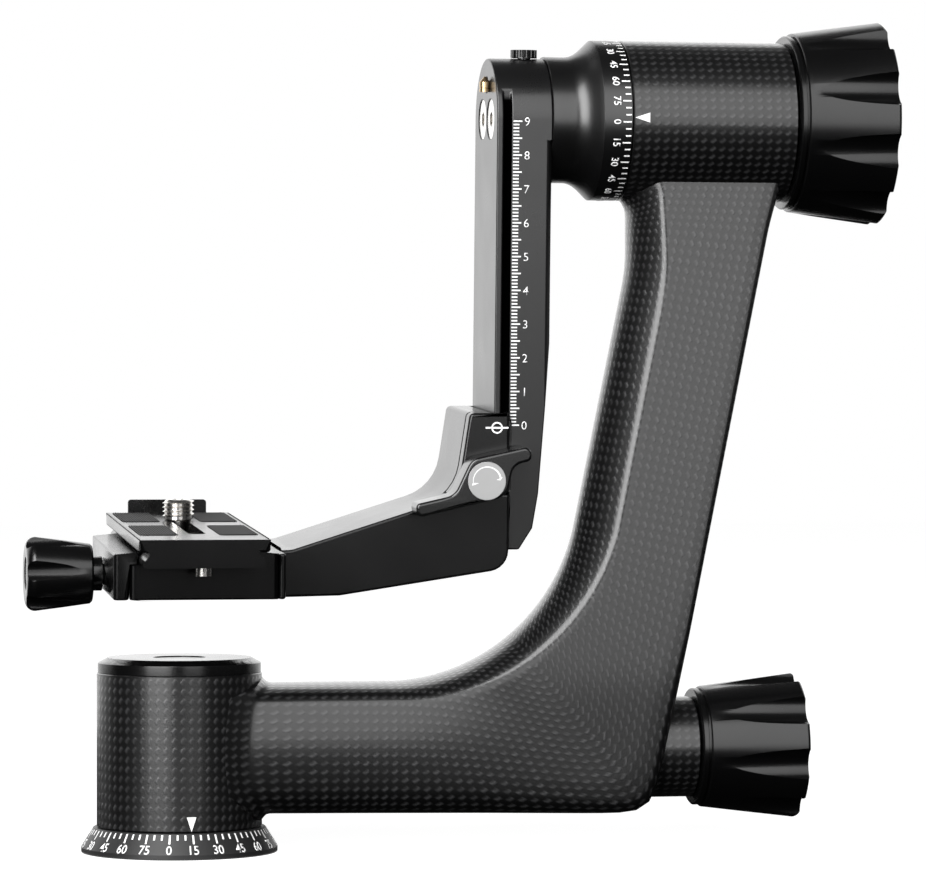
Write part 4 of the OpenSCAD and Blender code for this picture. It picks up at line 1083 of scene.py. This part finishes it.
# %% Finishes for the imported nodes
FINISHES = {name: paint for paint, names in (
    (RING_BLACK, ("stop_lock_screw", "foot_plate", "pan_liner", "tilt_liner")),
    (BRASS, ("pan_lock_bush", "pan_brake_shoe", "pan_knob_insert", "tilt_clutch_ring",
             "tilt_knob_insert"))) for name in names}
replaced = {n for o in bpy.data.objects for n in o.get("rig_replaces", [])}
for node_name, node in nodes.items():
    if node_name not in replaced:
        node.data.materials.clear()
        node.data.materials.append(FINISHES.get(node_name, STEEL))
        smooth(node, 30)
print("kept", sorted(set(nodes) - replaced))

# %% [markdown]
# ## Printed marks
# The dials, the arm's scale and the carriage's index line are printed in white. A mark starts flat,
# as a plane or as text turned into a mesh, and is then laid point by point onto its surface.
# Solidify gives it the thickness of ink.

# %% Flat marks and where they lie
INK_T = 0.05
bpy.ops.mesh.primitive_plane_add(size=1)
stroke = bpy.context.active_object
with editing(stroke, "SELECT"):
    bpy.ops.mesh.subdivide(number_cuts=3)


def bar(low, high, thickness, upright=False):
    """A flat bar from low to high in mm, centred on the other axis."""
    obj = duplicate(stroke)
    for v in obj.data.vertices:
        along_bar, across = mix(low, high, v.co.x + 0.5), v.co.y * thickness
        v.co = (across, along_bar, 0) if upright else (along_bar, across, 0)
    return obj


def triangle(corners):
    """A flat triangle. Its last corner is its tip."""
    obj = duplicate(stroke)
    a, b, c = (Vector(p) for p in corners)
    for v in obj.data.vertices:
        spot = a.lerp(b, v.co.y + 0.5).lerp(c, (v.co.x + 0.5) * 0.98)
        v.co = (spot.x, spot.y, 0)
    return obj


def arc_mark(first, last, radius, thin, thick, steps):
    """A flat arc between two angles in degrees, which may grow thicker on its way."""
    parts = []
    for i in range(steps):
        piece = duplicate(stroke)
        for v in piece.data.vertices:
            share = (i + v.co.x + 0.5) / steps
            a = math.radians(mix(first, last, share))
            r = radius - v.co.y * mix(thin, thick, share)
            v.co = (r * math.cos(a), r * math.sin(a), 0)
        parts.append(piece)
    return join("arc_mark", parts)


def number(value, height, weight):
    """A flat number in mm, centred on the origin."""
    bpy.ops.object.text_add()
    obj = bpy.context.active_object
    obj.data.body = str(value)
    obj.data.size = 10
    obj.data.offset = weight
    obj.data.resolution_u = 6
    bpy.ops.object.convert(target="MESH")
    xs = [v.co.x for v in obj.data.vertices]
    ys = [v.co.y for v in obj.data.vertices]
    scale = height / (max(ys) - min(ys))
    middle = Vector(((max(xs) + min(xs)) / 2, (max(ys) + min(ys)) / 2, 0))
    for v in obj.data.vertices:
        v.co = (v.co - middle) * scale
    return obj


def laid(obj, where, s=0, t=0):
    """Lays a flat mark onto a surface: where(s, t) gives a point and an outward direction in mm."""
    for v in obj.data.vertices:
        point, out = where(s + v.co.x, t + v.co.y)
        v.co = (Vector(point) + Vector(out).normalized() * 0.02) * MM
    return obj


def printed(name, marks, body, tip=True):
    """Joins laid marks into one piece of ink, which is tipped with the swing arm or not."""
    ink = join(name, marks)
    if tip:
        tipped(ink)
    with editing(ink):
        weld(1e-7, outwards=False)
    apply(ink, "SOLIDIFY", thickness=INK_T * MM, offset=1.0, use_rim=True)
    dress(ink, INK, body, "black_anodised")

# %% [markdown]
# Both dials count from 0 to 75 degrees in each quarter turn, with a short tick every 5 degrees and
# a long one at each number. The dial of the foot is printed on a cone, with its zero 12.7 degrees
# to the left of the front.

# %% Pan dial
FOOT_LOW, FOOT_HIGH = (29.0, 1.6), (25.4, 7.4)
FOOT_MEAN_R = 27.0
DIAL_TURN = 12.7


def dial(surface, sense, turn, ticks, width, number_h, number_at):
    """ticks is where a long tick starts, where a short one starts, and where both end."""
    marks = []
    for degree in range(0, 360, 5):
        value = degree % 90
        where = surface(sense * degree - turn)
        has_number = value % 15 == 0
        low = ticks[0] if has_number else ticks[1]
        marks.append(laid(bar(low, ticks[2], width, upright=True), where))
        if has_number:
            marks.append(laid(number(value, number_h, 0.12), where, 0, number_at))
    return marks


def foot_cone(angle0):
    def where(s, t):
        r = mix(FOOT_LOW[0], FOOT_HIGH[0], (t - FOOT_LOW[1]) / (FOOT_HIGH[1] - FOOT_LOW[1]))
        a = math.radians(angle0) + s / FOOT_MEAN_R
        return (r * math.sin(a), -r * math.cos(a), t), (5.8 * math.sin(a), -5.8 * math.cos(a), 3.6)
    return where


printed("pan_dial_marks", dial(foot_cone, 1, DIAL_TURN, (4.55, 5.6, 7.05), 0.55, 2.45, 2.85), "base",
        tip=False)

# %% [markdown]
# The tilt dial is printed on the hub's ring. Its numbers lie on their sides, with their tops towards
# the tube. A small white triangle on each carbon part points at the dial beside it.

# %% Tilt dial and pointers
HUB_TURN = 1.1


def hub_ring(angle0):
    """s runs down the front of the ring and t along the tilt axis."""
    def where(s, t):
        a = math.radians(angle0) - s / HUB_R
        out = (0, -math.cos(a), math.sin(a))
        return (t, HUB_R * out[1], TILT_Z + HUB_R * out[2]), out
    return where


printed("tilt_dial_marks", dial(hub_ring, -1, HUB_TURN, (129.15, 130.0, 131.65), 0.42, 2.2, 127.45),
        "swing")


def housing_wall(s, t):
    a = s / HOUSING_R
    return (HOUSING_R * math.sin(a), -HOUSING_R * math.cos(a), t), (math.sin(a), -math.cos(a), 0)


def tube_wall(s, t):
    y = -math.sqrt(TUBE_R ** 2 - (t - TILT_Z) ** 2)
    return (s, y, t), (0, y / TUBE_R, (t - TILT_Z) / TUBE_R)


pointers = [laid(triangle([(-0.65, 12.1), (2.15, 12.1), (0.75, 7.8)]), housing_wall),
            laid(triangle([(137.2, 215.55), (137.2, 218.45), (132.7, 217.0)]), tube_wall)]
printed("pointers", pointers, "frame", tip=False)

# %% [markdown]
# The arm has a millimetre scale with centimetre numbers, and the carriage's index line reads it.

# %% Arm scale and index mark
ARM_FRONT_Y = -18.2
JAW_FRONT_Y = -20.5
DISC_Y = -30.4
SCALE_ZERO_Z = 126.9
INDEX = (92.75, 126.25)


def front(y):
    """A flat face that looks to the front."""
    def where(s, t):
        return (s, y, t), (0, -1, 0)
    return where


marks = []
for step in range(91):
    z = SCALE_ZERO_Z + step
    end = 99.8 if step % 5 == 0 else 98.9
    marks.append(laid(bar(97.15, end, 0.42), front(ARM_FRONT_Y), 0, z))
    if step % 10 == 0:
        marks.append(laid(number(step // 10, 2.45, -0.05), front(ARM_FRONT_Y), 101.35, z - 0.1))
printed("arm_scale_marks", marks, "swing")

printed("index_mark", [laid(arc_mark(0, 360, 1.5, 0.46, 0.46, 48), front(JAW_FRONT_Y), *INDEX),
                       laid(bar(-3.45, 3.45, 0.5), front(JAW_FRONT_Y), *INDEX)], "carriage")

# %% [markdown]
# The lever's grey disc shows which way it turns: an arc that grows thicker to the right, with a small
# head at each end.

# %% Turning arrow
arrow = [arc_mark(186, 12, 4.15, 0.16, 0.5, 24),
         triangle([(-4.45, -1.35), (-4.35, -0.55), (-2.35, -0.6)]),
         triangle([(2.75, 0.35), (4.65, 1.15), (3.95, 0.2)])]
printed("turning_arrow", [laid(mark, front(DISC_Y), *LEVER_AT) for mark in arrow], "lever")
bpy.data.objects.remove(stroke)

# %% [markdown]
# ## Studio
# The photograph was made in a white studio. The floor and the world show one shader to the camera
# and to reflections, and a darker one to the light that bounces, so that the white does not wash
# out the dark parts.

# %% Shaders of the studio
def emptied(owner):
    """The nodes of a material or a world, all taken out."""
    owner.use_nodes = True
    owner.node_tree.nodes.clear()
    return Nodes(owner.node_tree)


def grey(tone):
    return (tone, tone, tone, 1)


def seen_directly(shaders, seen, other):
    """One shader for camera, glossy and transmission rays, and another one for the rest."""
    rays = shaders.tree.nodes.new("ShaderNodeLightPath").outputs
    camera_ray, glossy_ray, through_ray = (
        Shade(shaders, rays[f"Is {kind} Ray"]) for kind in ("Camera", "Glossy", "Transmission"))
    direct = camera_ray.calc("MAXIMUM", camera_ray, glossy_ray)
    direct = direct.calc("MAXIMUM", direct, through_ray)
    return shaders.node("ShaderNodeMixShader", {}, direct, other, seen)


def sheet(name, shader, size, **place):
    """A plane with its own material, whose shader is made by a function of its nodes."""
    bpy.ops.mesh.primitive_plane_add(size=size, **place)
    obj = bpy.context.active_object
    obj.name = name
    material = bpy.data.materials.new(name)
    shaders = emptied(material)
    shaders.finish("ShaderNodeOutputMaterial", shader(shaders))
    obj.data.materials.append(material)
    return obj

# %% [markdown]
# The floor is pale and keeps the shadow. Cards close the room and show only in reflections. The
# dark ones give round edges dark outlines, and the bright one behind lights the left faces at a
# grazing angle.

# %% Floor and cards
def floor_shader(shaders):
    diffuse = shaders.node("ShaderNodeBsdfDiffuse", {}, grey(0.3))
    glow = shaders.node("ShaderNodeEmission", {}, grey(1), 0.98)
    plain = shaders.node("ShaderNodeBsdfDiffuse", {}, grey(0.06))
    return seen_directly(shaders, shaders.node("ShaderNodeAddShader", {}, diffuse, glow), plain)


def card(name, location, facing, size, tone):
    """A flat card that shows only in reflections, turned to face the way given."""
    obj = sheet(name, lambda shaders: shaders.node("ShaderNodeEmission", {}, grey(tone)), 1,
                location=location)
    obj.rotation_euler = Vector(facing).to_track_quat("Z", "Y").to_euler()
    obj.scale = (*size, 1)
    obj.visible_camera = False
    obj.visible_diffuse = False
    obj.visible_shadow = False
    obj.visible_transmission = False


sheet("floor", floor_shader, 8)
card("card_left", (-1.6, -0.5, 1.1), (1, 0, 0), (2.6, 2.6), 0.03)
card("card_right", (1.7, -0.5, 1.1), (-1, 0, 0), (2.6, 2.6), 0.15)
card("card_front", (0.0, -1.8, 1.1), (0, 1, 0), (3.4, 2.6), 0.03)
card("card_top", (0.0, 0.25, 2.2), (0, 0, -1), (3.4, 4.2), 0.06)
card("card_back", (0.0, 2.4, 1.0), (0, -1, 0), (6.0, 3.6), 1.7)
card("card_below", (0.0, -0.65, 0.0004), (0, 0, 1), (3.3, 2.3), 0.006)

# %% [markdown]
# Two tall soft boxes stand in front: a strong one to the left, and a weaker one nearly behind the
# camera.

# %% Lamps and world
LAMPS_LOOK_AT = Vector((0.09, 0, 0.13))
LAMP_DISTANCE = 1.5


def soft_box(name, azimuth, elevation, size, watts):
    """A soft box. Azimuth runs from the front to the left, in degrees."""
    data = bpy.data.lights.new(name, "AREA")
    data.shape = "RECTANGLE"
    data.size, data.size_y = size
    data.energy = watts
    box = bpy.data.objects.new(name, data)
    a = math.radians(azimuth)
    e = math.radians(elevation)
    way = Vector((-math.sin(a) * math.cos(e), -math.cos(a) * math.cos(e), math.sin(e)))
    box.location = LAMPS_LOOK_AT + way * LAMP_DISTANCE
    box.rotation_euler = way.to_track_quat("Z", "Y").to_euler()
    bpy.context.scene.collection.objects.link(box)


soft_box("key", 38, 22, (1.0, 2.0), 60)
soft_box("second", -10, 20, (0.75, 1.6), 12)

world = bpy.data.worlds.new("studio")
bpy.context.scene.world = world
sky = emptied(world)
white = sky.node("ShaderNodeBackground", {}, grey(1))
ambient = sky.node("ShaderNodeBackground", {}, grey(1), 0.02)
sky.finish("ShaderNodeOutputWorld", seen_directly(sky, white, ambient))
print("lamps", len(bpy.data.lights), "world", world.name)
bpy.context.scene.view_settings.view_transform = "Standard"
